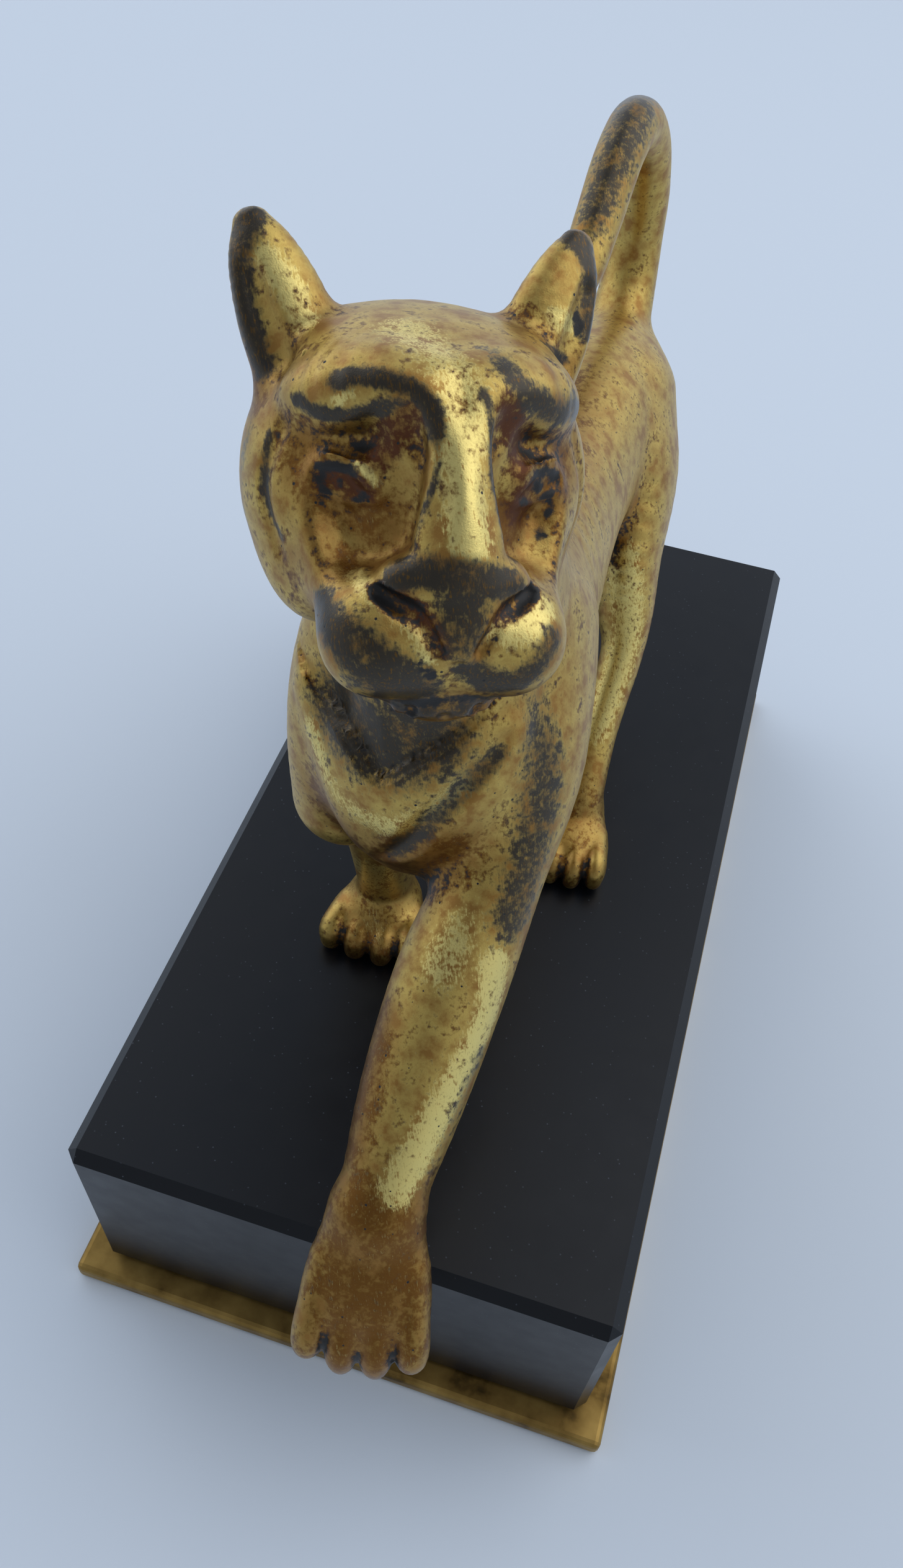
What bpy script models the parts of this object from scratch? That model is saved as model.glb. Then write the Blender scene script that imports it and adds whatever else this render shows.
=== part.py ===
"""Gilt bronze panther on a black stone plinth with a brass plate below.

World frame: metres, +Z up, origin in the middle of the underside. The animal walks along -Y,
and its own left side is towards +X.
"""
import itertools
import math

import bmesh
import bpy
import numpy as np
from mathutils import Matrix

MM = 0.001

# Plinth: a stone block on a brass plate that stands out round it as a ledge
BLOCK_WIDTH = 65.0 * MM
BLOCK_LENGTH = 131.0 * MM
BLOCK_HEIGHT = 31.5 * MM
BLOCK_CHAMFER = 1.3 * MM
PLATE_LEDGE = 3.0 * MM
PLATE_THICKNESS = 3.0 * MM
PLATE_ROUND = 0.8 * MM
JOINT_GAP = 0.3 * MM

# Panther: from its soles to the tips of its ears, and how far its middle is ahead of the block's
FIGURE_HEIGHT = 95.8 * MM
FIGURE_AHEAD = 11.2 * MM

# How finely its skin is worked out, in the clay's own units, and the share of faces kept
SKIN_STEP = 0.7
SKIN_SHARE = 0.096

# The clay's own units are near to millimetres: x to the animal's left, y back from a line just
# behind its raised forepaw, and z up from its soles

# Head: where its middle is, and how it turns left, lifts and tilts
HEAD_CENTRE = (-2.9, 30.6, 81.7)
HEAD_YAW = math.radians(29.8)
HEAD_PITCH = math.radians(18.3)
HEAD_ROLL = math.radians(6.7)

# The clay is worked out this far from a shape, and is called far off beyond it
REACH = 4.0
FAR = 12.0
PINCH_FILL = 0.05


def smooth_path(stations, pieces):
    """Rows of a smooth curve through the stations, every column interpolated alike."""
    rows = np.array(stations, float)
    ends = np.vstack([2 * rows[0] - rows[1], rows, 2 * rows[-1] - rows[-2]])
    result = []
    for index in range(len(rows) - 1):
        a, b, c, d = ends[index:index + 4]
        for share in np.arange(pieces) / pieces:
            result.append(0.5 * (2 * b + (c - a) * share + (2 * a - 5 * b + 4 * c - d) * share ** 2
                                 + (3 * b - a - 3 * c + d) * share ** 3))
    result.append(rows[-1])
    return np.array(result)


def oval_distance(offset, radii):
    """Distance from an ellipsoid's surface, close to the true one near the surface."""
    outer = np.linalg.norm(offset / radii, axis=1)
    slope = np.linalg.norm(offset / radii ** 2, axis=1)
    return np.where(slope > 1e-6, outer * (outer - 1.0) / np.maximum(slope, 1e-6), -np.min(radii))


class Tube:
    """A limb: oval sections (x, y, z, half width, half depth) along a smooth path."""

    def __init__(self, stations, side=(1.0, 0.0, 0.0), pieces=5):
        self.rows = smooth_path(stations, pieces)
        self.side = np.array(side, float)
        reach = self.rows[:, 3:5].max(axis=1)[:, None]
        self.low = (self.rows[:, :3] - reach).min(axis=0)
        self.high = (self.rows[:, :3] + reach).max(axis=0)

    def distance(self, points):
        best = np.full(len(points), FAR)
        for start, end in zip(self.rows[:-1], self.rows[1:]):
            run = end[:3] - start[:3]
            length = np.linalg.norm(run)
            along = run / length
            side = self.side - along * (self.side @ along)
            side /= np.linalg.norm(side)
            depth = np.cross(along, side)
            reach = max(start[3:5].max(), end[3:5].max()) + REACH + length / 2
            near = np.linalg.norm(points - (start[:3] + end[:3]) / 2, axis=1) < reach
            if not near.any():
                continue
            offset = points[near] - start[:3]
            travel = offset @ along
            held = np.clip(travel, 0.0, length)
            share = (held / length)[:, None]
            across = start[3:5] * (1 - share) + end[3:5] * share
            radii = np.column_stack([across, across.min(axis=1)])
            local = np.column_stack([offset @ side, offset @ depth, travel - held])
            best[near] = np.minimum(best[near], oval_distance(local, radii))
        return best


class Ball:
    """A muscle or a bone: an ellipsoid, turned by degrees about X, then Y, then Z."""

    def __init__(self, centre, radii, turn=(0.0, 0.0, 0.0)):
        self.centre = np.array(centre, float)
        self.radii = np.array(radii, float)
        about_x, about_y, about_z = (Matrix.Rotation(math.radians(angle), 3, axis)
                                     for angle, axis in zip(turn, "XYZ"))
        self.axes = np.array(about_z @ about_y @ about_x)
        spread = np.abs(self.axes) @ self.radii
        self.low = self.centre - spread
        self.high = self.centre + spread

    def distance(self, points):
        return oval_distance((points - self.centre) @ self.axes, self.radii)


class Stroke:
    """A tool mark over the surface: rows (x, y, z, width, depth), raised where the depth is below zero."""

    def __init__(self, stations, uphill=None, edge=0.5):
        self.rows = smooth_path(stations, 4) if len(stations) > 1 else np.array([stations[0]] * 2, float)
        self.uphill = None if uphill is None else np.array(uphill, float)
        self.edge = edge
        reach = self.rows[:, 3:4]
        self.low = (self.rows[:, :3] - reach).min(axis=0)
        self.high = (self.rows[:, :3] + reach).max(axis=0)

    def sink(self, points):
        """How deep the mark is at each point; a step's far side, away from uphill, is sharp."""
        best = np.full(len(points), 1e9)
        depth = np.zeros(len(points))
        for start, end in zip(self.rows[:-1], self.rows[1:]):
            run = end[:3] - start[:3]
            length = max(run @ run, 1e-9)
            share = np.clip((points - start[:3]) @ run / length, 0.0, 1.0)
            offset = points - start[:3] - run * share[:, None]
            away = np.linalg.norm(offset, axis=1)
            width = start[3] + (end[3] - start[3]) * share
            if self.uphill is not None:
                across = self.uphill - run * (self.uphill @ run) / length
                width = np.where(offset @ across < 0, self.edge, width)
            inner = np.clip(1.0 - away / width, 0.0, 1.0)
            here = (start[4] + (end[4] - start[4]) * share) * inner * inner * (3 - 2 * inner)
            closer = away < best
            depth[closer] = here[closer]
            best[closer] = away[closer]
        return depth


class Clay:
    """Shapes added and cut away in turn, each rounded by its own blend where it meets the rest."""

    def __init__(self):
        self.steps = []
        self.strokes = []

    def add(self, shape, blend=1.0):
        self.steps.append((shape, blend, True))

    def cut(self, shape, blend=0.6):
        self.steps.append((shape, blend, False))

    def mark(self, stations, uphill=None, edge=0.5):
        """Draws a tool mark over the surface."""
        self.strokes.append(Stroke(stations, uphill, edge))

    def box(self):
        """Lowest and highest corners round everything that was added."""
        added = [shape for shape, blend, adds in self.steps if adds]
        return (np.min([shape.low for shape in added], axis=0),
                np.max([shape.high for shape in added], axis=0))

    def distance(self, points):
        """Distance from the clay's surface, below zero inside it."""
        result = np.full(len(points), FAR)
        for shape, blend, adds in self.steps:
            margin = REACH + blend
            near = np.all((points > shape.low - margin) & (points < shape.high + margin), axis=1)
            if not near.any():
                continue
            here = result[near]
            there = shape.distance(points[near])
            if adds:
                overlap = np.maximum(blend - np.abs(here - there), 0.0) ** 2 / (4 * blend)
                result[near] = np.minimum(here, there) - overlap
            else:
                overlap = np.maximum(blend - np.abs(here + there), 0.0) ** 2 / (4 * blend)
                result[near] = np.maximum(here, -there) + overlap
        for stroke in self.strokes:
            near = np.all((points > stroke.low) & (points < stroke.high), axis=1)
            if near.any():
                result[near] += stroke.sink(points[near])
        return result


class Posed:
    """A two-sided piece of clay made about x = 0 looking along +y, and placed by its centre."""

    def __init__(self, clay, centre, yaw, pitch, roll):
        self.clay = clay
        self.centre = np.array(centre, float)
        left = np.array([math.cos(yaw), math.sin(yaw), 0.0])
        ahead = np.array([math.sin(yaw), -math.cos(yaw), 0.0])
        up = np.array([0.0, 0.0, 1.0])
        ahead, up = (ahead * math.cos(pitch) + up * math.sin(pitch),
                     up * math.cos(pitch) - ahead * math.sin(pitch))
        left, up = (left * math.cos(roll) - up * math.sin(roll),
                    up * math.cos(roll) + left * math.sin(roll))
        self.axes = np.array([left, ahead, up]).T
        low, high = clay.box()
        low[0] = -high[0]
        corners = np.array(list(itertools.product(*zip(low, high)))) @ self.axes.T + self.centre
        self.low = corners.min(axis=0)
        self.high = corners.max(axis=0)

    def distance(self, points):
        local = (points - self.centre) @ self.axes
        local[:, 0] = np.abs(local[:, 0])
        return self.clay.distance(local)


def head_clay():
    """The head about its own middle: x to either side, y ahead to the nose and z up."""
    head = Clay()
    # Skull, cheeks, jaw and the muzzle's core
    head.add(Ball((0, -2.0, 0.6), (11.0, 11.0, 8.8)))
    head.add(Tube([(0, -1.5, 6.4, 2.6, 6.0), (6.6, -1.5, 6.2, 2.6, 5.4)], (0, 0, 1)), 2.5)
    head.add(Tube([(0, 0, -0.5, 10.2, 8.4), (0, 6, -2.0, 8.8, 7.8), (0, 10, -5.6, 6.8, 6.6),
                   (0, 12, -8.4, 5.4, 5.4)]), 2.0)
    head.add(Ball((8.5, 0.2, -2.8), (4.4, 6.4, 7.2), (0, 4, 0)), 2.5)
    head.add(Ball((7.5, 2.4, -8.2), (3.3, 5.4, 3.9)), 2.5)
    head.add(Tube([(7.4, 4.0, -4.6, 2.6, 3.0), (6.2, 9.0, -6.6, 2.8, 3.0), (5.2, 12.0, -8.0, 2.6, 2.6)]), 2.0)
    head.add(Tube([(8.0, 5.4, -2.6, 2.2, 2.2), (5.6, 9.8, -3.6, 2.2, 2.2), (3.8, 12.2, -3.8, 1.8, 1.8)]), 2.0)
    head.add(Tube([(0, 2, -8, 8.0, 4.6), (0, 8, -11.0, 6.2, 4.0), (0, 12.0, -12.4, 4.2, 3.0)]), 2.0)
    # Brows, the eye sockets hollowed below them, and the straight bridge of the nose between
    head.add(Tube([(0, 5.4, 6.2, 2.5, 5.2), (4.2, 4.8, 6.2, 2.4, 4.8), (6.0, 2.6, 5.3, 1.8, 3.6)],
                  (0, 0, 1)), 4.0)
    head.add(Tube([(1.6, 9.2, 6.2, 1.4, 1.5), (4.5, 7.8, 6.3, 1.4, 1.4), (6.6, 6.6, 5.4, 1.1, 1.1),
                   (8.2, 5.2, 4.8, 0.6, 0.6)], (0, 1, 0)), 3.0)
    head.cut(Ball((7.2, 13.2, 0.6), (5.0, 5.6, 6.4), (0, 0, -20)), 1.2)
    head.cut(Ball((3.8, 13.2, 4.4), (2.2, 2.9, 2.6)), 0.8)
    head.mark([(3.4, 10.2, 4.0, 2.4, -0.5), (3.9, 9.6, 1.0, 3.0, -1.3), (4.4, 9.4, -2.0, 3.0, -1.0)])
    head.add(Tube([(0, 3.5, 7.4, 4.4, 1.6), (0, 9.6, 4.8, 1.5, 2.2), (0, 12.6, 1.6, 1.4, 2.4),
                   (0, 14.4, -1.8, 2.4, 2.4), (0, 15.6, -4.2, 3.4, 1.9)]), 1.2)
    head.add(Tube([(2.1, 14.2, -1.4, 0.4, 0.4), (1.4, 13.5, 1.8, 0.45, 0.55), (1.3, 12.3, 4.4, 0.5, 0.7),
                   (2.0, 11.0, 6.3, 0.55, 0.7), (4.2, 9.5, 6.5, 0.7, 0.8), (6.4, 8.2, 5.1, 0.8, 0.9),
                   (8.4, 6.2, 4.8, 0.6, 0.7), (9.6, 4.0, 4.8, 0.3, 0.3)], (0, 1, 0)), 1.6)
    # Eyes and their lids
    head.add(Ball((6.5, 7.9, 0.3), (2.6, 1.4, 1.7), (0, 14, -30)), 1.2)
    head.mark([(5.2, 9.7, -0.2, 0.9, 0.4), (6.8, 9.1, 0.0, 1.4, 0.8), (8.2, 7.8, 0.2, 1.0, 0.4)])
    head.mark([(6.9, 8.6, 0.0, 0.8, -0.5)])
    head.mark([(4.6, 9.9, 0.2, 0.4, -0.2), (5.3, 9.9, 1.3, 0.5, -0.45), (6.4, 9.4, 2.0, 0.5, -0.45),
               (8.2, 7.9, 1.8, 0.5, -0.25)])
    head.mark([(5.2, 9.9, 2.5, 0.6, 0.2), (6.6, 9.0, 2.9, 0.7, 0.3), (8.6, 7.2, 2.5, 0.6, 0.15)])
    head.mark([(5.2, 10.0, -1.2, 0.5, 0.1), (7.0, 9.0, -1.5, 0.6, 0.25), (8.6, 7.4, -0.8, 0.5, 0.1)])
    # Nose, nostrils, muzzle pads, lips and chin
    head.add(Ball((3.3, 14.2, -4.4), (1.8, 1.9, 1.5)), 1.0)
    head.add(Ball((4.2, 12.8, -9.2), (4.5, 4.8, 4.3), (0, 0, -20)), 1.8)
    head.add(Tube([(0, 16.0, -4.8, 3.0, 1.2), (0, 16.9, -6.6, 2.3, 1.0), (0, 17.0, -8.4, 1.4, 0.9),
                   (0, 16.6, -10.0, 0.7, 0.7)]), 0.6)
    head.cut(Tube([(1.5, 17.6, -8.2, 0.4, 0.4), (2.1, 17.5, -7.2, 0.5, 0.5), (2.8, 17.2, -6.2, 0.6, 0.5),
                   (3.8, 16.4, -5.6, 0.7, 0.6), (5.2, 14.9, -5.1, 0.5, 0.5)]), 0.4)
    head.add(Tube([(5.7, 12.0, -4.9, 0.3, 0.3), (5.6, 14.0, -5.7, 0.5, 0.5), (4.4, 15.3, -6.8, 0.6, 0.6),
                   (3.2, 16.3, -7.3, 0.55, 0.55), (2.2, 16.8, -8.4, 0.4, 0.4)]), 0.7)
    head.mark([(0.1, 17.5, -9.4, 0.9, 0.4), (0.1, 17.5, -11.0, 1.0, 0.9), (0.1, 17.2, -12.6, 1.0, 0.7)])
    head.add(Ball((0, 12.6, -13.2), (3.7, 3.2, 2.4)), 0.8)
    head.cut(Tube([(0, 17.0, -12.4, 0.5, 0.5), (3.6, 15.6, -13.4, 0.5, 0.5), (7.2, 11.8, -12.4, 0.5, 0.5),
                   (9.4, 7.4, -9.8, 0.4, 0.4)]), 0.5)
    # The crease behind the cheek
    head.cut(Tube([(10.8, 4.8, 2.6, 0.5, 0.5), (12.0, 4.8, -1.4, 0.6, 0.6),
                   (11.0, 6.0, -6.0, 0.5, 0.5)]), 0.6)
    # Ears, hollow to the outside
    ear_side = (0.7, 0.1, -0.7)
    head.add(Tube([(8.4, -1.4, 4.6, 3.4, 2.6), (9.7, -2.2, 8.6, 3.4, 2.3), (11.0, -3.4, 11.8, 2.6, 1.8),
                   (11.8, -4.4, 13.9, 1.4, 1.1)], ear_side), 1.4)
    head.cut(Tube([(11.0, 1.6, 6.6, 1.5, 1.7), (11.9, 0.2, 9.2, 1.4, 1.5), (12.4, -1.4, 11.4, 0.8, 0.9)],
                  ear_side), 0.6)
    return head


def torso(clay):
    """Chest, back, loins and rump, with the neck rising to the head."""
    clay.add(Tube([(-0.8, 34, 48, 11.6, 13.4), (-0.8, 44, 46, 12.4, 16.5), (-0.4, 60, 43.5, 10.2, 14.0),
                   (0.0, 78, 42.5, 8.8, 11.6), (0.4, 94, 42, 9.0, 11.8), (0.6, 105, 40.5, 8.8, 11.4),
                   (0.6, 110, 40, 7.6, 9.8)]))
    clay.add(Tube([(-1.2, 45, 52, 11.0, 12), (-1.8, 39, 61, 10.8, 12.0), (-2.5, 34, 70, 10.2, 11.4),
                   (-2.9, 31.5, 78, 9.4, 9.6)]), 4.0)
    clay.add(Ball((-1.2, 31, 47), (9.0, 7.6, 13.6), (-12, 0, 0)), 3.0)
    clay.add(Tube([(-8.6, 41, 61, 5.6, 8.0), (-9.4, 37, 52, 6.5, 8.4), (-9.8, 35.5, 44, 6.6, 8.0),
                   (-9.8, 34.5, 35.5, 6.2, 7.0)]), 2.0)
    clay.add(Tube([(-12.0, 31.0, 53, 0.8, 0.8), (-7.6, 26.6, 47, 1.2, 1.2), (-2.8, 25.0, 41.5, 1.6, 1.6),
                   (2.4, 25.8, 47.5, 1.2, 1.2), (6.4, 30.0, 55, 0.8, 0.8)]), 2.5)
    # The step of the collar below the neck, and the soft groove beside it
    clay.mark([(-12.4, 30.6, 54.8, 5.0, 0.5), (-10.2, 28.5, 54.2, 5.0, 1.0), (-6.6, 25.1, 53.2, 5.5, 1.2),
               (-3.2, 23.1, 51.6, 6.0, 1.3), (-0.4, 23.7, 53.9, 5.5, 1.2), (2.5, 25.4, 56.0, 5.0, 1.0),
               (5.2, 28.4, 58.5, 4.0, 0.3)], (0, 0, 1), 1.1)
    clay.mark([(-3.4, 22.4, 40.2, 1.2, 0.2), (-0.5, 22.0, 43.5, 1.8, 0.9), (1.9, 22.3, 48.3, 2.0, 1.1),
               (4.2, 24.0, 51.7, 2.0, 1.0), (6.1, 26.6, 54.4, 1.6, 0.6), (7.5, 29.1, 56.0, 1.2, 0.1)])


def paw(clay, heel, toes, half_width):
    """A paw from its heel to its toe tips: a broad back and four toes with grooves between."""
    heel = np.array(heel, float)
    run = np.array(toes, float) - heel
    along = run / np.linalg.norm(run)
    side = np.cross(along, (0, 0, 1.0))
    side /= np.linalg.norm(side)
    up = np.cross(side, along)
    clay.add(Tube([(*(heel + up * 0.6), half_width * 0.72, 3.4),
                   (*(heel + run * 0.48 + up * 0.4), half_width, 3.2),
                   (*(heel + run * 0.72), half_width * 0.86, 2.4)], side), 2.0)
    thick = half_width * 0.29
    for place in (-1.5, -0.5, 0.5, 1.5):
        shift = place * half_width * 0.52
        back = heel + run * 0.30 + side * shift * 0.8 + up * 0.7
        bend = heel + run * (0.80 - 0.02 * place ** 2) + side * shift + up * 0.5
        tip = heel + run * (0.97 - 0.035 * place ** 2) + side * shift * 1.02 - up * 0.9
        clay.add(Tube([(*back, thick, 2.0), (*bend, thick, 2.3), (*tip, thick * 0.8, 1.5)], side), 0.5)


def forelegs(clay):
    """The standing right foreleg and the left one, stretched out past the block's front edge."""
    clay.add(Tube([(-6.6, 48, 58, 4.4, 8.0), (-9.8, 42, 48, 5.4, 9.0), (-10.4, 41, 36, 5.0, 7.4),
                   (-9.6, 42, 22, 4.2, 4.8), (-8.8, 43, 9, 3.6, 3.9), (-8.6, 42.5, 4.5, 3.8, 4.0)]), 2.5)
    paw(clay, (-8.6, 43.5, 2.8), (-8.4, 35.2, 2.1), 6.4)
    clay.add(Tube([(6.5, 46, 54, 4.2, 9.0), (8.6, 37, 45, 5.0, 8.6), (7.8, 27, 37.8, 5.0, 6.0),
                   (6.5, 18.5, 31.2, 5.7, 6.2), (5.8, 8.5, 24.2, 5.3, 5.5),
                   (5.5, -1.0, 17.7, 4.0, 4.1)]), 2.5)
    paw(clay, (5.4, -0.6, 17.2), (7.4, -12.4, 4.4), 6.5)


def hind_legs(clay):
    """The left hind leg, which steps forward, and the right one, which pushes off behind."""
    clay.add(Tube([(4.6, 104, 43, 5.5, 9.0), (7.8, 98, 36, 5.4, 11.0), (9.6, 89, 29, 4.4, 7.4),
                   (11.0, 84.0, 24, 3.8, 4.6), (12.0, 80.0, 19.6, 2.9, 3.5), (11.6, 72.0, 12.6, 2.7, 2.9),
                   (11.6, 65.0, 6.4, 3.1, 3.2)]), 2.5)
    paw(clay, (11.6, 64.5, 2.8), (12.0, 54.4, 2.1), 5.4)
    clay.add(Tube([(-3.4, 105, 43, 5.5, 9.0), (-6.6, 103, 35, 5.4, 10.4), (-8.4, 101, 27, 4.4, 7.4),
                   (-9.6, 108, 21.0, 3.7, 4.8), (-10.0, 116, 16.0, 2.8, 3.5), (-10.0, 117, 9.0, 2.6, 2.8),
                   (-10.0, 116.5, 5.0, 3.1, 3.2)]), 2.5)
    paw(clay, (-10.0, 117.0, 2.8), (-10.0, 106.8, 2.1), 5.4)


def tail(clay):
    """The tail rises from the rump and bends forward over the back."""
    clay.add(Tube([(0.4, 108, 45, 4.6, 4.6), (0.0, 115.5, 50.5, 3.9, 3.9), (-0.1, 118.5, 57, 3.4, 3.4),
                   (0.0, 117.5, 63.5, 3.2, 3.2), (-0.5, 114.5, 70.4, 3.1, 3.1), (-1.2, 109, 74.8, 3.0, 3.0),
                   (-1.6, 102, 74.3, 2.9, 2.9), (-1.8, 95, 70.6, 2.8, 2.8), (-2.0, 88.5, 66.8, 2.5, 2.5),
                   (-2.2, 85, 64.8, 1.7, 1.7)]), 1.5)


def panther_clay():
    """The whole animal, soles down to the block's top at z = 0."""
    clay = Clay()
    torso(clay)
    forelegs(clay)
    hind_legs(clay)
    tail(clay)
    clay.add(Posed(head_clay(), HEAD_CENTRE, HEAD_YAW, HEAD_PITCH, HEAD_ROLL), 2.5)
    return clay


def standing_distance(clay, points):
    """The clay cut off flat where the soles meet the block."""
    return np.maximum(clay.distance(points), -points[:, 2])


def lattice_values(distance, axes, coarse=4):
    """The distance at every lattice point, worked out exactly only near the surface."""
    step = axes[0][1] - axes[0][0]
    counts = [len(axis) for axis in axes]
    rough_axes = [axis[0] + step * (coarse * np.arange(-(-count // coarse)) + (coarse - 1) / 2)
                  for axis, count in zip(axes, counts)]
    rough = np.stack(np.meshgrid(*rough_axes, indexing="ij"), axis=-1)
    values = distance(rough.reshape(-1, 3)).reshape(rough.shape[:3])
    for way in range(3):
        values = values.repeat(coarse, axis=way)
    values = values[:counts[0], :counts[1], :counts[2]].copy()
    near = np.abs(values) < 1.6 * coarse * step
    places = np.argwhere(near) * step + [axis[0] for axis in axes]
    values[near] = distance(places)
    return values


def fill_pinches(values, rounds=20):
    """Fills lattice corners in wherever the solid would touch itself along an edge or at a point."""
    corners = list(itertools.product((0, 1), repeat=3))
    pairs = [(a, b) for a, b in itertools.combinations(corners, 2) if sum(np.abs(np.subtract(a, b))) > 1]
    cells = np.array(values.shape) - 1
    views = {corner: values[tuple(slice(c, c + n) for c, n in zip(corner, cells))] for corner in corners}
    for _ in range(rounds):
        pinches = 0
        for a, b in pairs:
            apart = [way for way in range(3) if a[way] != b[way]]
            box = [corner for corner in corners
                   if all(corner[way] == a[way] for way in range(3) if way not in apart)]
            between = [corner for corner in box if corner not in (a, b)]
            pinched = (views[a] < 0) & (views[b] < 0)
            for corner in between:
                pinched &= views[corner] >= 0
            pinches += pinched.sum()
            for corner in between:
                views[corner][pinched] = -PINCH_FILL
        if not pinches:
            break
    return values


def skin_mesh(distance, low, high, step):
    """A closed skin of quads round the solid: one point a lattice cell that the surface crosses."""
    axes = [np.arange(a - 1.5 * step, b + 2.5 * step, step) for a, b in zip(low, high)]
    values = fill_pinches(lattice_values(distance, axes))
    inside = values < 0
    cells = np.array(values.shape) - 1
    total = np.zeros((*cells, 3))
    count = np.zeros(cells)
    for way in range(3):
        for first, second in itertools.product((0, 1), repeat=2):
            corner = np.insert([first, second], way, 0)
            other = corner + np.eye(3, dtype=int)[way]
            a, b = (tuple(slice(c, c + n) for c, n in zip(place, cells)) for place in (corner, other))
            crossed = inside[a] != inside[b]
            share = values[a][crossed] / (values[a][crossed] - values[b][crossed])
            spot = np.tile(corner.astype(float), (len(share), 1))
            spot[:, way] = share
            total[crossed] += spot
            count[crossed] += 1
    used = count > 0
    index = np.full(cells, -1)
    index[used] = np.arange(used.sum())
    points = (np.argwhere(used) + total[used] / count[used][:, None]) * step + [axis[0] for axis in axes]
    faces = []
    for way in range(3):
        ahead = tuple(slice(1, None) if axis == way else slice(None) for axis in range(3))
        behind = tuple(slice(None, -1) if axis == way else slice(None) for axis in range(3))
        crossed = np.argwhere(inside[behind] != inside[ahead])
        starts_inside = inside[tuple(crossed.T)]
        u, v = np.eye(3, dtype=int)[(way + 1) % 3], np.eye(3, dtype=int)[(way + 2) % 3]
        ring = [crossed - u - v, crossed - v, crossed, crossed - u]
        quads = np.column_stack([index[tuple(place.T)] for place in ring])
        quads[~starts_inside] = quads[~starts_inside][:, ::-1]
        faces.append(quads)
    return points, np.vstack(faces)


def settle(distance, points, rounds=2):
    """Moves points on to the surface along its slope."""
    reach = 0.02
    for _ in range(rounds):
        here = distance(points)
        slope = np.column_stack([distance(points + offset) - distance(points - offset)
                                 for offset in np.eye(3) * reach]) / (2 * reach)
        size = np.maximum((slope ** 2).sum(axis=1), 0.25)
        points = points - slope * np.clip(here / size, -0.5, 0.5)[:, None]
    return points


def new_object(name, mesh, material):
    """Links a mesh to the scene as a named object with one material."""
    mesh.materials.append(material)
    result = bpy.data.objects.new(name, mesh)
    bpy.context.scene.collection.objects.link(result)
    return result


def surface(name, colour, metallic, roughness):
    """A plain material."""
    material = bpy.data.materials.new(name)
    material.use_nodes = True
    shader = material.node_tree.nodes["Principled BSDF"]
    shader.inputs["Base Color"].default_value = (*colour, 1.0)
    shader.inputs["Metallic"].default_value = metallic
    shader.inputs["Roughness"].default_value = roughness
    return material


def make_slab(name, width, length, bottom, top, material):
    """A plain slab about x = y = 0, which a Bevel modifier then finishes."""
    mesh = bpy.data.meshes.new(name)
    shape = bmesh.new()
    bmesh.ops.create_cube(shape, size=1.0)
    for point in shape.verts:
        point.co.x *= width
        point.co.y *= length
        point.co.z = top if point.co.z > 0 else bottom
    shape.to_mesh(mesh)
    shape.free()
    return new_object(name, mesh, material)


def make_plate():
    """The brass plate, with slightly rounded edges."""
    plate = make_slab("brass_plate", BLOCK_WIDTH + 2 * PLATE_LEDGE, BLOCK_LENGTH + 2 * PLATE_LEDGE,
                      0.0, PLATE_THICKNESS, surface("plate_brass", (0.27, 0.16, 0.045), 1.0, 0.35))
    rounding = plate.modifiers.new("rounded edges", "BEVEL")
    rounding.width = PLATE_ROUND
    rounding.segments = 3
    return plate


def make_block():
    """The stone block, with small chamfers round its edges."""
    bottom = PLATE_THICKNESS + JOINT_GAP
    block = make_slab("plinth_block", BLOCK_WIDTH, BLOCK_LENGTH, bottom, bottom + BLOCK_HEIGHT,
                      surface("block_stone", (0.012, 0.014, 0.020), 0.0, 0.15))
    chamfer = block.modifiers.new("chamfers", "BEVEL")
    chamfer.width = BLOCK_CHAMFER
    chamfer.segments = 1
    return block


def make_panther():
    """The cast animal, standing on the block with a hair's gap below its soles."""
    clay = panther_clay()
    low, high = clay.box()
    low[2] = 0.0

    def distance(points):
        return standing_distance(clay, points)

    points, quads = skin_mesh(distance, low, high, SKIN_STEP)
    points = settle(distance, points)
    lowest, highest = points.min(axis=0), points.max(axis=0)
    points[:, 1] -= (lowest[1] + highest[1]) / 2
    points *= FIGURE_HEIGHT / (highest[2] - lowest[2])
    points[:, 1] -= FIGURE_AHEAD
    points[:, 2] += PLATE_THICKNESS + JOINT_GAP + BLOCK_HEIGHT + JOINT_GAP - points[:, 2].min()
    mesh = bpy.data.meshes.new("panther")
    mesh.from_pydata(points.tolist(), [], quads.tolist())
    mesh.shade_smooth()
    result = new_object("panther", mesh, surface("cast_gilt_bronze", (0.45, 0.30, 0.09), 1.0, 0.35))
    thinning = result.modifiers.new("fewer faces", "DECIMATE")
    thinning.ratio = SKIN_SHARE
    return result


def main():
    """Clears the scene and makes the three pieces."""
    for item in list(bpy.data.objects):
        bpy.data.objects.remove(item, do_unlink=True)
    make_plate()
    make_block()
    make_panther()


main()
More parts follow.
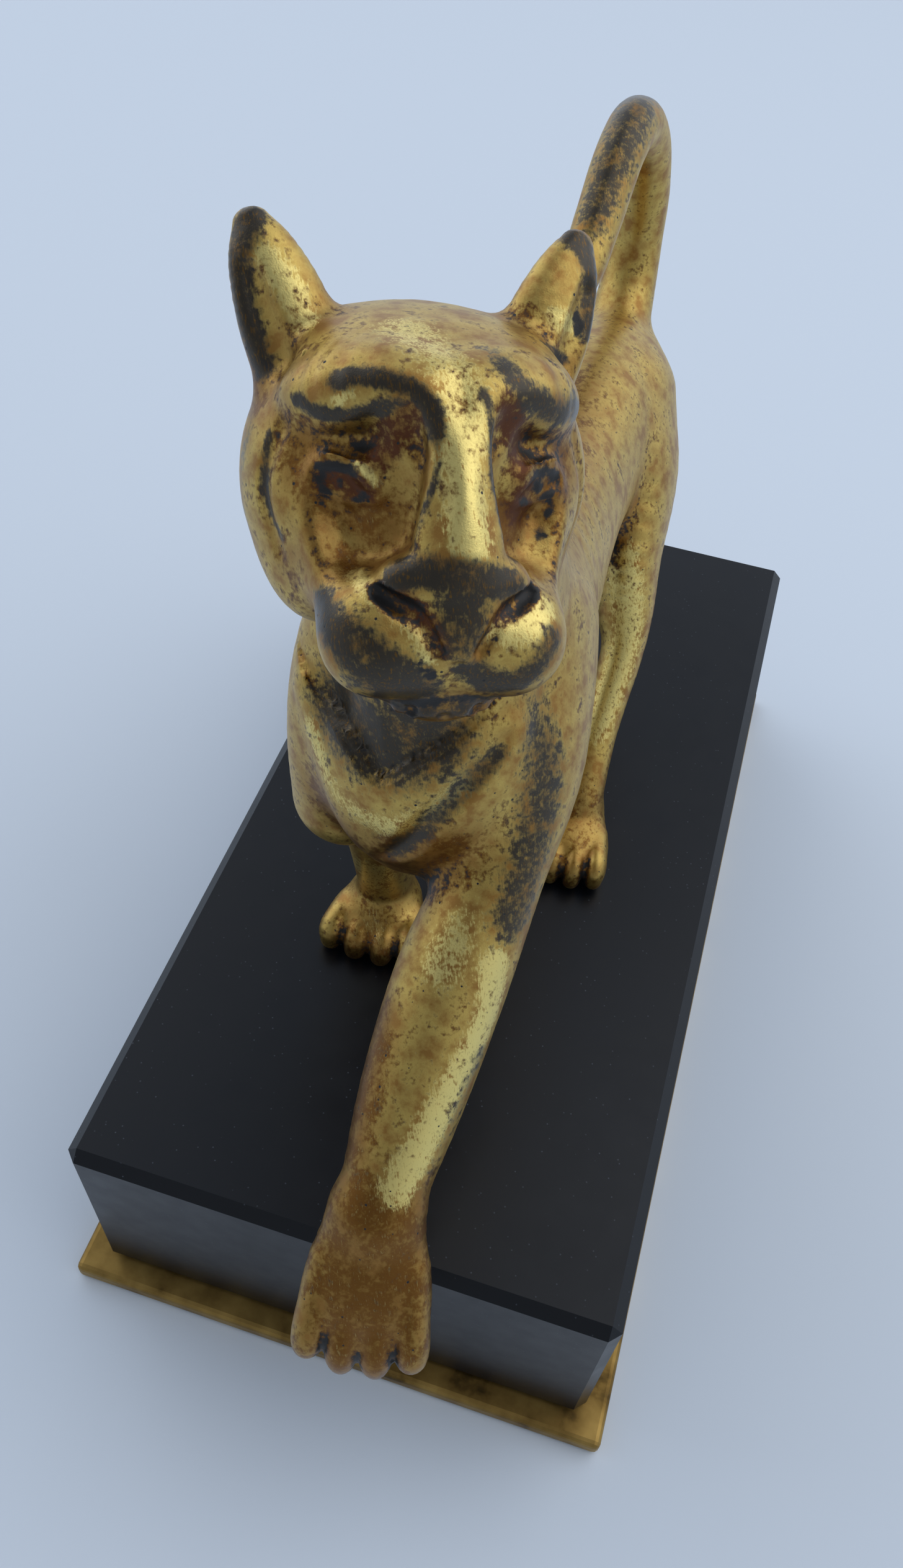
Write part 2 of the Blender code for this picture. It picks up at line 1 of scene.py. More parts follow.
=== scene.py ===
"""Gilt bronze panther statuette on a black stone plinth, dressed and lit for its picture.

World frame: metres, +Z up, origin in the middle of the underside. The animal walks along -Y,
and its own left side is towards +X.
"""
import itertools
import logging
import math
from collections.abc import Callable, Sequence
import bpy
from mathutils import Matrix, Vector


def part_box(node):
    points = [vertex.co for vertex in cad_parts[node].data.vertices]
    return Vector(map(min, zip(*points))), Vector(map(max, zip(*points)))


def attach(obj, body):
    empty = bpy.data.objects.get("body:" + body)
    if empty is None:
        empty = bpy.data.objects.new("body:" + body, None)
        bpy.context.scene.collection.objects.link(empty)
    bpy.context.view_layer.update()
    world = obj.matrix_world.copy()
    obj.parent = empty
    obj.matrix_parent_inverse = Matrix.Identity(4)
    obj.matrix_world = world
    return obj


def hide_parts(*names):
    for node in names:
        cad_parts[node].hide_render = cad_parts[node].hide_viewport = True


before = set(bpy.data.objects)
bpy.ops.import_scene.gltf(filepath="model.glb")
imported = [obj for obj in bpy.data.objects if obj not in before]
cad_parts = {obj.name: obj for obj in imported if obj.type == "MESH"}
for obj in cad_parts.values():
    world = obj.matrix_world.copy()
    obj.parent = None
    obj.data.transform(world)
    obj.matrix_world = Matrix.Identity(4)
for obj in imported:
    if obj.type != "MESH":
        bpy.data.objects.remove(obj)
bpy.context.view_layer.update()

from concurrent.futures import ThreadPoolExecutor
from dataclasses import dataclass, field
from enum import Enum

import bpy
import numpy as np
from mathutils import Matrix, Vector

LOG = logging.getLogger("statuette")

MM = 0.001

# The animal is modelled as clay, in units of about a millimetre, and brought to size at the end.
# Distances are worked out this far from a shape, or less close to its surface, and called far
# off beyond it
REACH = 4.0
CLOSE = 0.8
FAR = 12.0
PINCH_FILL = 0.05
TINY = 1e-6

# Points are measured in large batches, a few at a time, each from cells that lie close together
BATCH = 30_000
CELL = 12.0
WORKERS = 4

Triple = tuple[float, float, float]
Station = tuple[float, float, float, float, float]
Field = Callable[[np.ndarray, float], np.ndarray]
Tree = bpy.types.NodeTree
Node = bpy.types.Node
Socket = bpy.types.NodeSocket
Material = bpy.types.Material


def linear(hex_colour: str) -> tuple[float, float, float, float]:
    """Turns an sRGB hex colour into linear light.

    Args:
        hex_colour: The colour as "#RRGGBB".

    Returns:
        Red, green, blue and a full alpha.
    """
    shares = [int(hex_colour[place:place + 2], 16) / 255 for place in (1, 3, 5)]
    red, green, blue = (share / 12.92 if share <= 0.04045 else ((share + 0.055) / 1.055) ** 2.4
                        for share in shares)
    return red, green, blue, 1.0


def add_node(tree: Tree, kind: str, settings: dict[str | int, object] | None = None,
             links: dict[str | int, Socket] | None = None) -> Node:
    """Adds one node with its settings and its incoming links.

    Args:
        tree: The node tree that gets the node.
        kind: The node's type.
        settings: Values of the node's own properties, or of its inputs by name or number.
        links: The socket that feeds each input, by the input's name or number.

    Returns:
        The new node.
    """
    node = tree.nodes.new(kind)
    for name, value in (settings or {}).items():
        if isinstance(name, str) and hasattr(node, name):
            setattr(node, name, value)
        else:
            node.inputs[name].default_value = value
    for name, socket in (links or {}).items():
        tree.links.new(socket, node.inputs[name])
    return node


def new_material(name: str) -> tuple[Material, Tree, Node]:
    """Starts a node material.

    Args:
        name: The material's name.

    Returns:
        The material, its tree and its Principled shader.
    """
    material = bpy.data.materials.new(name)
    material.use_nodes = True
    tree = material.node_tree
    return material, tree, tree.nodes["Principled BSDF"]


def put(name: str, data: bpy.types.ID) -> bpy.types.Object:
    """Puts a mesh, a light or a camera in the scene.

    Args:
        name: The object's name.
        data: What it shows.

    Returns:
        The new object.
    """
    thing = bpy.data.objects.new(name, data)
    bpy.context.scene.collection.objects.link(thing)
    return thing


class Wear(Enum):
    """How age has changed a place on the gilding, and where light and shade are painted on it."""

    BRIGHT = "polished_gold_and_highlight"
    DARK = "bare_bronze_shade_and_sheen"
    AGED_AND_SHADE = "brown_gilding_and_shade"
    RUST_AND_SHADE = "red_grime_and_shade"
    GRIME_AND_SHADE = "black_grime_and_shade"


@dataclass(frozen=True)
class WornGilding:
    """Fire-gilt cast bronze, brushed and much handled.

    It gives the eye soft brushed gold with bright and browned patches, rubbed through to dark
    bronze on what stands out, with red-brown and black grime in what lies deep. Light and shade
    are painted in too: the bright patches are partly painted highlights, the browned, red-brown,
    black and dark bronze ones partly painted shade, most of all in the hollows, and some dark
    bronze stands for a painted sheen.
    """

    bright_gold_and_highlight: str = "#E8D382"
    old_gold: str = "#C6A95B"
    brown_gold: str = "#9C7338"
    aged_gold_and_shade: str = "#7C521E"
    bare_bronze_shade_and_sheen: str = "#3C352A"
    worn_bronze: str = "#6A4F28"
    red_grime_and_shade: str = "#5C3110"
    black_grime_and_shade: str = "#14110E"
    blotch: float = 2.2 * MM
    mottle: float = 0.55 * MM
    # Real brush lines are about 0.05 mm wide, and the grain is finer still: both are drawn coarser
    # than that, to show at the picture's size
    stroke_width: float = 0.16 * MM
    stroke_length: float = 1.1 * MM
    stroke_turn: Triple = (0.0, 0.85, -1.0)
    grain: float = 0.12 * MM
    pit_spacing: float = 1.5 * MM
    gold_roughness: float = 0.45
    stroke_gloss: float = 0.16
    relief: float = 0.03 * MM
    coat_weight: float = 0.2
    coat_roughness: float = 0.3

    def noises(self, tree: Tree, place: Socket) -> dict[str, Socket]:
        """Makes the noise that breaks up the wear, each kind at its own size.

        Args:
            tree: The material's tree.
            place: The place on the piece.

        Returns:
            The noise by name.
        """
        turned = add_node(tree, "ShaderNodeMapping",
                          {"vector_type": "TEXTURE", "Rotation": self.stroke_turn,
                           "Scale": (self.stroke_length / self.stroke_width, 1.0, 1.0)},
                          {"Vector": place}).outputs["Vector"]
        kinds = {"blotch": (place, self.blotch, 5.0, 0.62), "mottle": (place, self.mottle, 3.0, 0.6),
                 "stroke": (turned, self.stroke_width, 3.0, 0.6), "grain": (place, self.grain, 2.0, 0.5)}
        return {name: add_node(tree, "ShaderNodeTexNoise",
                               {"Scale": 1.0 / size, "Detail": detail, "Roughness": rough},
                               {"Vector": vector}).outputs["Fac"]
                for name, (vector, size, detail, rough) in kinds.items()}

    def pits(self, tree: Tree, place: Socket, blotch: Socket) -> Socket:
        """Scatters small casting pits, larger where the blotches are light and none where they are dark.

        Args:
            tree: The material's tree.
            place: The place on the piece.
            blotch: The noise that sizes them.

        Returns:
            The pits' mask.
        """
        spots = add_node(tree, "ShaderNodeTexVoronoi", {"Scale": 1.0 / self.pit_spacing, "Randomness": 1.0},
                         {"Vector": place}).outputs["Distance"]
        size = add_node(tree, "ShaderNodeMath", {"operation": "MULTIPLY_ADD", 1: 0.26, 2: -0.05},
                        {0: blotch}).outputs[0]
        depth = add_node(tree, "ShaderNodeMath", {"operation": "SUBTRACT"}, {0: size, 1: spots}).outputs[0]
        return add_node(tree, "ShaderNodeMapRange",
                        {"interpolation_type": "SMOOTHSTEP", "From Min": 0.0, "From Max": 0.03},
                        {"Value": depth}).outputs["Result"]

    def masks(self, tree: Tree, noises: dict[str, Socket]) -> dict[str, Socket]:
        """Draws where each layer lies, from the skin's marks broken up by noise and then sharpened.

        Args:
            tree: The material's tree.
            noises: The noise by name.

        Returns:
            The masks by the layer's name.
        """
        marks = {name: add_node(tree, "ShaderNodeAttribute", {"attribute_name": name}).outputs["Fac"]
                 for name in ("recess", *(kind.value for kind in Wear))}
        # Each layer's mark, how much of which noise is added, and between which sums it sets in,
        # counted from the noise's middle value
        # The recess mark measures how deep in a hollow each point lies, so the brown and crevice layers paint
        # shade in the hollows as well as browned gilding and grime. Gold paints highlights as well as
        # polished gilding, and aged, rust, bare and black follow marks that are partly painted shade; bare
        # also paints a grey sheen.
        recipes = {
            "aged": (Wear.AGED_AND_SHADE.value, {"blotch": 2.6, "mottle": 0.8}, 0.15, 0.95),
            "gold_and_highlight": (Wear.BRIGHT.value, {"blotch": 1.2, "stroke": 1.8, "mottle": 1.4}, 0.25, 0.8),
            "brown": ("recess", {"blotch": 1.6, "mottle": 1.2, "stroke": 0.5}, 0.1, 0.8),
            "rust_and_shade": (Wear.RUST_AND_SHADE.value, {"blotch": 1.4, "mottle": 1.8, "stroke": 0.6}, 0.1, 1.0),
            "bare_shade_and_sheen": (Wear.DARK.value, {"blotch": 1.5, "mottle": 0.7, "stroke": 0.6}, 0.2, 0.85),
            "rubbed": (Wear.DARK.value, {"stroke": 3.4, "mottle": 1.8}, 1.05, 1.6),
            "crevice": ("recess", {"mottle": 1.8, "blotch": 0.8}, 0.5, 0.95),
            "black": (Wear.GRIME_AND_SHADE.value, {"mottle": 1.0, "blotch": 0.6}, 0.3, 0.8),
        }
        masks = {}
        for layer, (mark, parts, low, high) in recipes.items():
            total = marks[mark]
            for noise, amount in parts.items():
                total = add_node(tree, "ShaderNodeMath", {"operation": "MULTIPLY_ADD", 1: amount},
                                 {0: noises[noise], 2: total}).outputs[0]
            middle = sum(parts.values()) / 2
            masks[layer] = add_node(tree, "ShaderNodeMapRange",
                                    {"interpolation_type": "SMOOTHSTEP", "From Min": low + middle,
                                     "From Max": high + middle}, {"Value": total}).outputs["Result"]
        return masks

    def material(self) -> Material:
        """Builds the finish from the wear attributes on the skin and noise of real sizes.

        Returns:
            The finished material.
        """
        material, tree, shader = new_material("worn_gilding")
        place = add_node(tree, "ShaderNodeTexCoord").outputs["Object"]
        noises = self.noises(tree, place)
        masks = self.masks(tree, noises) | {"pit": self.pits(tree, place, noises["blotch"])}
        share = add_node(tree, "ShaderNodeMapRange", {"From Min": 0.36, "From Max": 0.56},
                         {"Value": noises["blotch"]}).outputs["Result"]
        colour = add_node(tree, "ShaderNodeMix",
                          {"data_type": "RGBA", 6: linear(self.brown_gold), 7: linear(self.old_gold)},
                          {0: share}).outputs[2]
        metal, rough = {}, {}
        # The layers from the bottom up: mask, colour, metallic and roughness
        # Gold paints highlights with the polished gilding; aged, brown, rust, crevice and black paint shade
        # with the browned gilding and grime; bare paints shade and a grey sheen with the bare bronze
        for mask, tone, metallic, roughness in (("aged", self.aged_gold_and_shade, 1.0, 0.4),
                                                ("gold_and_highlight", self.bright_gold_and_highlight, 1.0, 0.38),
                                                ("brown", self.aged_gold_and_shade, 1.0, 0.45),
                                                ("rust_and_shade", self.red_grime_and_shade, 0.8, 0.5),
                                                ("bare_shade_and_sheen", self.bare_bronze_shade_and_sheen, 0.7, 0.31),
                                                ("rubbed", self.worn_bronze, 1.0, 0.38),
                                                ("crevice", self.black_grime_and_shade, 0.2, 0.6),
                                                ("black", self.black_grime_and_shade, 0.2, 0.6),
                                                ("pit", self.black_grime_and_shade, 0.2, 0.6)):
            colour = add_node(tree, "ShaderNodeMix", {"data_type": "RGBA", 7: linear(tone)},
                              {0: masks[mask], 6: colour}).outputs[2]
            metal = {2: add_node(tree, "ShaderNodeMix", {2: 1.0, 3: metallic},
                                 {0: masks[mask]} | metal).outputs[0]}
            rough = {2: add_node(tree, "ShaderNodeMix", {2: self.gold_roughness, 3: roughness},
                                 {0: masks[mask]} | rough).outputs[0]}
        streaked = add_node(tree, "ShaderNodeMath", {"operation": "MULTIPLY_ADD", 1: self.stroke_gloss},
                            {0: noises["stroke"]} | rough).outputs[0]
        gloss = add_node(tree, "ShaderNodeMath", {"operation": "SUBTRACT", 1: self.stroke_gloss / 2},
                         {0: streaked}).outputs[0]
        brushed = add_node(tree, "ShaderNodeMath", {"operation": "MULTIPLY_ADD", 1: 0.5},
                           {0: noises["stroke"], 2: noises["grain"]}).outputs[0]
        pitted = add_node(tree, "ShaderNodeMath", {"operation": "MULTIPLY_ADD", 1: -1.5},
                          {0: masks["pit"], 2: brushed}).outputs[0]
        bump = add_node(tree, "ShaderNodeBump", {"Strength": 0.5, "Distance": self.relief},
                        {"Height": pitted}).outputs["Normal"]
        shader.inputs["Coat Weight"].default_value = self.coat_weight
        shader.inputs["Coat Roughness"].default_value = self.coat_roughness
        for socket, source in (("Base Color", colour), ("Metallic", metal[2]), ("Roughness", gloss),
                               ("Normal", bump)):
            tree.links.new(source, shader.inputs[socket])
        return material


@dataclass(frozen=True)
class PolishedBlackStone:
    """Black marble, sawn and polished.

    It gives the eye a nearly black face with a blue cast, faint clouds and specks, and clear soft
    reflections.
    """

    body: str = "#03060B"
    cloud: str = "#080C14"
    speck: str = "#5A606A"
    cloud_size: float = 14.0 * MM
    # Real specks are finer: they are drawn this coarse to show
    speck_spacing: float = 1.1 * MM
    polish_size: float = 3.0 * MM
    gloss: tuple[float, float] = (0.26, 0.42)
    # Below the 1.5 to 1.6 of marble, to match the dull reflection on the real one's top
    ior: float = 1.38

    def material(self) -> Material:
        """Builds the finish.

        Returns:
            The finished material.
        """
        material, tree, shader = new_material("polished_black_stone")
        place = add_node(tree, "ShaderNodeTexCoord").outputs["Object"]
        cloud = add_node(tree, "ShaderNodeTexNoise", {"Scale": 1.0 / self.cloud_size, "Detail": 6.0},
                         {"Vector": place}).outputs["Fac"]
        polish = add_node(tree, "ShaderNodeTexNoise", {"Scale": 1.0 / self.polish_size, "Detail": 4.0},
                          {"Vector": place}).outputs["Fac"]
        dots = add_node(tree, "ShaderNodeTexVoronoi", {"Scale": 1.0 / self.speck_spacing},
                        {"Vector": place}).outputs["Distance"]
        speck = add_node(tree, "ShaderNodeMapRange", {"From Min": 0.10, "From Max": 0.04},
                         {"Value": dots}).outputs["Result"]
        speck = add_node(tree, "ShaderNodeMath", {"operation": "MULTIPLY"},
                         {0: speck, 1: cloud}).outputs[0]
        colour = add_node(tree, "ShaderNodeMix",
                          {"data_type": "RGBA", 6: linear(self.body), 7: linear(self.cloud)},
                          {0: cloud}).outputs[2]
        colour = add_node(tree, "ShaderNodeMix", {"data_type": "RGBA", 7: linear(self.speck)},
                          {0: speck, 6: colour}).outputs[2]
        rough = add_node(tree, "ShaderNodeMapRange", {"To Min": self.gloss[0], "To Max": self.gloss[1]},
                         {"Value": polish}).outputs["Result"]
        tree.links.new(colour, shader.inputs["Base Color"])
        tree.links.new(rough, shader.inputs["Roughness"])
        shader.inputs["IOR"].default_value = self.ior
        return material


@dataclass(frozen=True)
class SatinBrass:
    """Rolled yellow brass, filed and brushed along its edges.

    It gives the eye a dull warm sheen with long fine lines, gone brown in patches from handling.
    """

    fresh: str = "#A88A4E"
    aged: str = "#7A6033"
    spot: str = "#4A3C24"
    patch_size: float = 5.0 * MM
    # Real brush lines are about 0.05 mm wide: they are drawn this coarse to show
    line_width: float = 0.25 * MM
    line_length: float = 12.0 * MM
    gloss: tuple[float, float] = (0.38, 0.6)
    relief: float = 0.02 * MM

    def material(self) -> Material:
        """Builds the finish.

        Returns:
            The finished material.
        """
        material, tree, shader = new_material("satin_brass")
        place = add_node(tree, "ShaderNodeTexCoord").outputs["Object"]
        stretch = self.line_width / self.line_length
        lines = add_node(tree, "ShaderNodeMapping", {"Scale": (stretch, stretch, 1.0)},
                         {"Vector": place}).outputs["Vector"]
        patch = add_node(tree, "ShaderNodeTexNoise", {"Scale": 1.0 / self.patch_size, "Detail": 5.0},
                         {"Vector": place}).outputs["Fac"]
        line = add_node(tree, "ShaderNodeTexNoise", {"Scale": 1.0 / self.line_width, "Detail": 2.0},
                        {"Vector": lines}).outputs["Fac"]
        age = add_node(tree, "ShaderNodeMapRange", {"From Min": 0.35, "From Max": 0.65},
                       {"Value": patch}).outputs["Result"]
        stain = add_node(tree, "ShaderNodeMapRange", {"From Min": 0.62, "From Max": 0.72},
                         {"Value": patch}).outputs["Result"]
        colour = add_node(tree, "ShaderNodeMix",
                          {"data_type": "RGBA", 6: linear(self.fresh), 7: linear(self.aged)},
                          {0: age}).outputs[2]
        colour = add_node(tree, "ShaderNodeMix", {"data_type": "RGBA", 7: linear(self.spot)},
                          {0: stain, 6: colour}).outputs[2]
        rough = add_node(tree, "ShaderNodeMapRange", {"To Min": self.gloss[0], "To Max": self.gloss[1]},
                         {"Value": line}).outputs["Result"]
        bump = add_node(tree, "ShaderNodeBump", {"Strength": 0.3, "Distance": self.relief},
                        {"Height": line}).outputs["Normal"]
        shader.inputs["Metallic"].default_value = 1.0
        tree.links.new(colour, shader.inputs["Base Color"])
        tree.links.new(rough, shader.inputs["Roughness"])
        tree.links.new(bump, shader.inputs["Normal"])
        return material


@dataclass(frozen=True)
class MattePaper:
    """Matte paper, which gives the eye a pale, even, dull floor."""

    tone: str = "#DFE8F2"
    roughness: float = 0.85
    shine: float = 0.2

    def material(self) -> Material:
        """Builds the finish.

        Returns:
            The finished material.
        """
        material, _, shader = new_material("matte_paper")
        shader.inputs["Base Color"].default_value = linear(self.tone)
        shader.inputs["Roughness"].default_value = self.roughness
        shader.inputs["Specular IOR Level"].default_value = self.shine
        return material


def smooth_path(stations: Sequence[Sequence[float]], pieces: int) -> np.ndarray:
    """Draws a smooth curve through stations, every column interpolated alike.

    Args:
        stations: The rows that the curve passes through.
        pieces: How many short pieces each gap is cut into.

    Returns:
        The curve's rows.
    """
    rows = np.array(stations, float)
    ends = np.vstack([2 * rows[0] - rows[1], rows, 2 * rows[-1] - rows[-2]])
    result = []
    for index in range(len(rows) - 1):
        a, b, c, d = ends[index:index + 4]
        for share in np.arange(pieces) / pieces:
            result.append(0.5 * (2 * b + (c - a) * share + (2 * a - 5 * b + 4 * c - d) * share ** 2
                                 + (3 * b - a - 3 * c + d) * share ** 3))
    result.append(rows[-1])
    return np.array(result)


def oval_distance(offset: np.ndarray, radii: np.ndarray) -> np.ndarray:
    """Measures how far points are from an ellipsoid's surface, closely near the surface.

    Args:
        offset: Points from the ellipsoid's middle, along its own axes.
        radii: Its three half widths.

    Returns:
        The distances, below zero inside.
    """
    outer = np.linalg.norm(offset / radii, axis=1)
    slope = np.linalg.norm(offset / radii ** 2, axis=1)
    return np.where(slope > TINY, outer * (outer - 1.0) / np.maximum(slope, TINY), -np.min(radii))


class Tube:
    """A limb, a ridge or a groove: oval sections (x, y, z, half width, half depth) along a path."""

    def __init__(self, stations: Sequence[Station], side: Triple = (1.0, 0.0, 0.0), pieces: int = 5) -> None:
        """Lays out the sections along a smooth path.

        Args:
            stations: The sections.
            side: The direction that the half widths are measured in.
            pieces: How many short pieces each gap is cut into.
        """
        self.rows = smooth_path(stations, pieces)
        self.side = np.array(side, float)
        reach = self.rows[:, 3:5].max(axis=1)[:, None]
        self.low = (self.rows[:, :3] - reach).min(axis=0)
        self.high = (self.rows[:, :3] + reach).max(axis=0)

    def distance(self, points: np.ndarray, reach: float) -> np.ndarray:
        """Measures the distance from the tube's surface.

        Args:
            points: Where to measure.
            reach: How far from the tube it matters.

        Returns:
            The distances, below zero inside.
        """
        best = np.full(len(points), FAR)
        low, high = points.min(axis=0), points.max(axis=0)
        for start, end in zip(self.rows[:-1], self.rows[1:]):
            run = end[:3] - start[:3]
            length = np.linalg.norm(run)
            middle = (start[:3] + end[:3]) / 2
            widest = max(start[3:5].max(), end[3:5].max()) + reach + length / 2
            if np.any((middle < low - widest) | (middle > high + widest)):
                continue
            near = ((points - middle) ** 2).sum(axis=1) < widest ** 2
            if not near.any():
                continue
            along = run / length
            side = self.side - along * (self.side @ along)
            side /= np.linalg.norm(side)
            depth = np.cross(along, side)
            offset = points[near] - start[:3]
            travel = offset @ along
            held = np.clip(travel, 0.0, length)
            share = (held / length)[:, None]
            across = start[3:5] * (1 - share) + end[3:5] * share
            radii = np.column_stack([across, across.min(axis=1)])
            local = np.column_stack([offset @ side, offset @ depth, travel - held])
            best[near] = np.minimum(best[near], oval_distance(local, radii))
        return best


class Ball:
    """A muscle or a bone: an ellipsoid, turned by degrees about X, then Y, then Z."""

    def __init__(self, centre: Triple, radii: Triple, turn: Triple = (0.0, 0.0, 0.0)) -> None:
        """Places the ellipsoid.

        Args:
            centre: Its middle.
            radii: Its half widths.
            turn: Its turns about X, Y and Z in degrees.
        """
        self.centre = np.array(centre, float)
        self.radii = np.array(radii, float)
        about_x, about_y, about_z = (Matrix.Rotation(math.radians(angle), 3, axis)
                                     for angle, axis in zip(turn, "XYZ"))
        self.axes = np.array(about_z @ about_y @ about_x)
        spread = np.abs(self.axes) @ self.radii
        self.low = self.centre - spread
        self.high = self.centre + spread

    def distance(self, points: np.ndarray, reach: float) -> np.ndarray:
        """Measures the distance from the ball's surface, below zero inside."""
        return oval_distance((points - self.centre) @ self.axes, self.radii)


class Stroke:
    """A tool mark over the surface: rows (x, y, z, width, depth), raised where the depth is below zero."""

    def __init__(self, stations: Sequence[Station], uphill: Triple | None = None, edge: float = 0.5) -> None:
        """Lays the mark along a smooth path.

        Args:
            stations: The rows.
            uphill: For a step, the side of the path that it lies on.
            edge: The width of a step's sharp side.
        """
        self.rows = smooth_path(stations, 4) if len(stations) > 1 else np.array([stations[0]] * 2, float)
        self.uphill = None if uphill is None else np.array(uphill, float)
        self.edge = edge
        reach = self.rows[:, 3:4]
        self.low = (self.rows[:, :3] - reach).min(axis=0)
        self.high = (self.rows[:, :3] + reach).max(axis=0)

    def sink(self, points: np.ndarray) -> np.ndarray:
        """Says how deep the mark is at each point.

        Args:
            points: Where to measure.

        Returns:
            The depths.
        """
        best = np.full(len(points), np.inf)
        depth = np.zeros(len(points))
        for start, end in zip(self.rows[:-1], self.rows[1:]):
            run = end[:3] - start[:3]
            square = max(run @ run, TINY ** 2)
            share = np.clip((points - start[:3]) @ run / square, 0.0, 1.0)
            offset = points - start[:3] - run * share[:, None]
            away = np.linalg.norm(offset, axis=1)
            width = start[3] + (end[3] - start[3]) * share
            if self.uphill is not None:
                across = self.uphill - run * (self.uphill @ run) / square
                width = np.where(offset @ across < 0, self.edge, width)
            inner = np.clip(1.0 - away / width, 0.0, 1.0)
            here = (start[4] + (end[4] - start[4]) * share) * inner * inner * (3 - 2 * inner)
            closer = away < best
            depth[closer] = here[closer]
            best[closer] = away[closer]
        return depth


class Clay:
    """Shapes added and cut away in turn, each rounded by its own blend where it meets the rest."""

    def __init__(self) -> None:
        """Starts with nothing."""
        self.steps = []
        self.strokes = []

    def mark(self, stations: Sequence[Station], uphill: Triple | None = None, edge: float = 0.5) -> None:
        """Draws a tool mark over the surface."""
        self.strokes.append(Stroke(stations, uphill, edge))

    def add(self, shape: "Tube | Ball | Posed", blend: float = 1.0) -> None:
        """Adds a shape with a fillet of the given size."""
        self.steps.append((shape, blend, True))

    def cut(self, shape: "Tube | Ball | Posed", blend: float = 0.6) -> None:
        """Cuts a shape away with rounded edges of the given size."""
        self.steps.append((shape, blend, False))

    def box(self) -> tuple[np.ndarray, np.ndarray]:
        """Finds the lowest and highest corners round everything that was added.

        Returns:
            The two corners.
        """
        added = [shape for shape, _, adds in self.steps if adds]
        return (np.min([shape.low for shape in added], axis=0),
                np.max([shape.high for shape in added], axis=0))

    def distance(self, points: np.ndarray, reach: float = REACH) -> np.ndarray:
        """Measures the distance from the clay's surface.

        Args:
            points: Where to measure.
            reach: How far from the clay it matters.

        Returns:
            The distances, below zero inside.
        """
        result = np.full(len(points), FAR)
        low, high = points.min(axis=0), points.max(axis=0)
        for shape, blend, adds in self.steps:
            margin = reach + blend
            if np.any((high < shape.low - margin) | (low > shape.high + margin)):
                continue
            near = np.all((points > shape.low - margin) & (points < shape.high + margin), axis=1)
            if not near.any():
                continue
            here = result[near]
            there = shape.distance(points[near], margin)
            if adds:
                overlap = np.maximum(blend - np.abs(here - there), 0.0) ** 2 / (4 * blend)
                result[near] = np.minimum(here, there) - overlap
            else:
                overlap = np.maximum(blend - np.abs(here + there), 0.0) ** 2 / (4 * blend)
                result[near] = np.maximum(here, -there) + overlap
        for stroke in self.strokes:
            if np.any((high < stroke.low) | (low > stroke.high)):
                continue
            near = np.all((points > stroke.low) & (points < stroke.high), axis=1)
            if near.any():
                result[near] += stroke.sink(points[near])
        return result


class Posed:
    """A two-sided piece of clay made about x = 0 looking along +y, and placed by its centre."""

    def __init__(self, clay: Clay, centre: Triple, yaw: float, pitch: float, roll: float) -> None:
        """Turns and places the piece.

        Args:
            clay: The piece, modelled on its +x side and mirrored.
            centre: Where its own origin goes.
            yaw: Its turn to the left, in radians.
            pitch: Its lift, in radians.
            roll: Its tilt, in radians.
        """
        self.clay = clay
        self.centre = np.array(centre, float)
        left = np.array([math.cos(yaw), math.sin(yaw), 0.0])
        ahead = np.array([math.sin(yaw), -math.cos(yaw), 0.0])
        up = np.array([0.0, 0.0, 1.0])
        ahead, up = (ahead * math.cos(pitch) + up * math.sin(pitch),
                     up * math.cos(pitch) - ahead * math.sin(pitch))
        left, up = (left * math.cos(roll) - up * math.sin(roll),
                    up * math.cos(roll) + left * math.sin(roll))
        self.axes = np.array([left, ahead, up]).T
        low, high = clay.box()
        low[0] = -high[0]
        corners = np.array(list(itertools.product(*zip(low, high)))) @ self.axes.T + self.centre
        self.low = corners.min(axis=0)
        self.high = corners.max(axis=0)

    def local(self, points: np.ndarray) -> np.ndarray:
        """Gives points in the piece's own frame."""
        return (points - self.centre) @ self.axes

    def distance(self, points: np.ndarray, reach: float) -> np.ndarray:
        """Measures the distance from the posed piece's surface, below zero inside."""
        local = self.local(points)
        local[:, 0] = np.abs(local[:, 0])
        return self.clay.distance(local, reach)


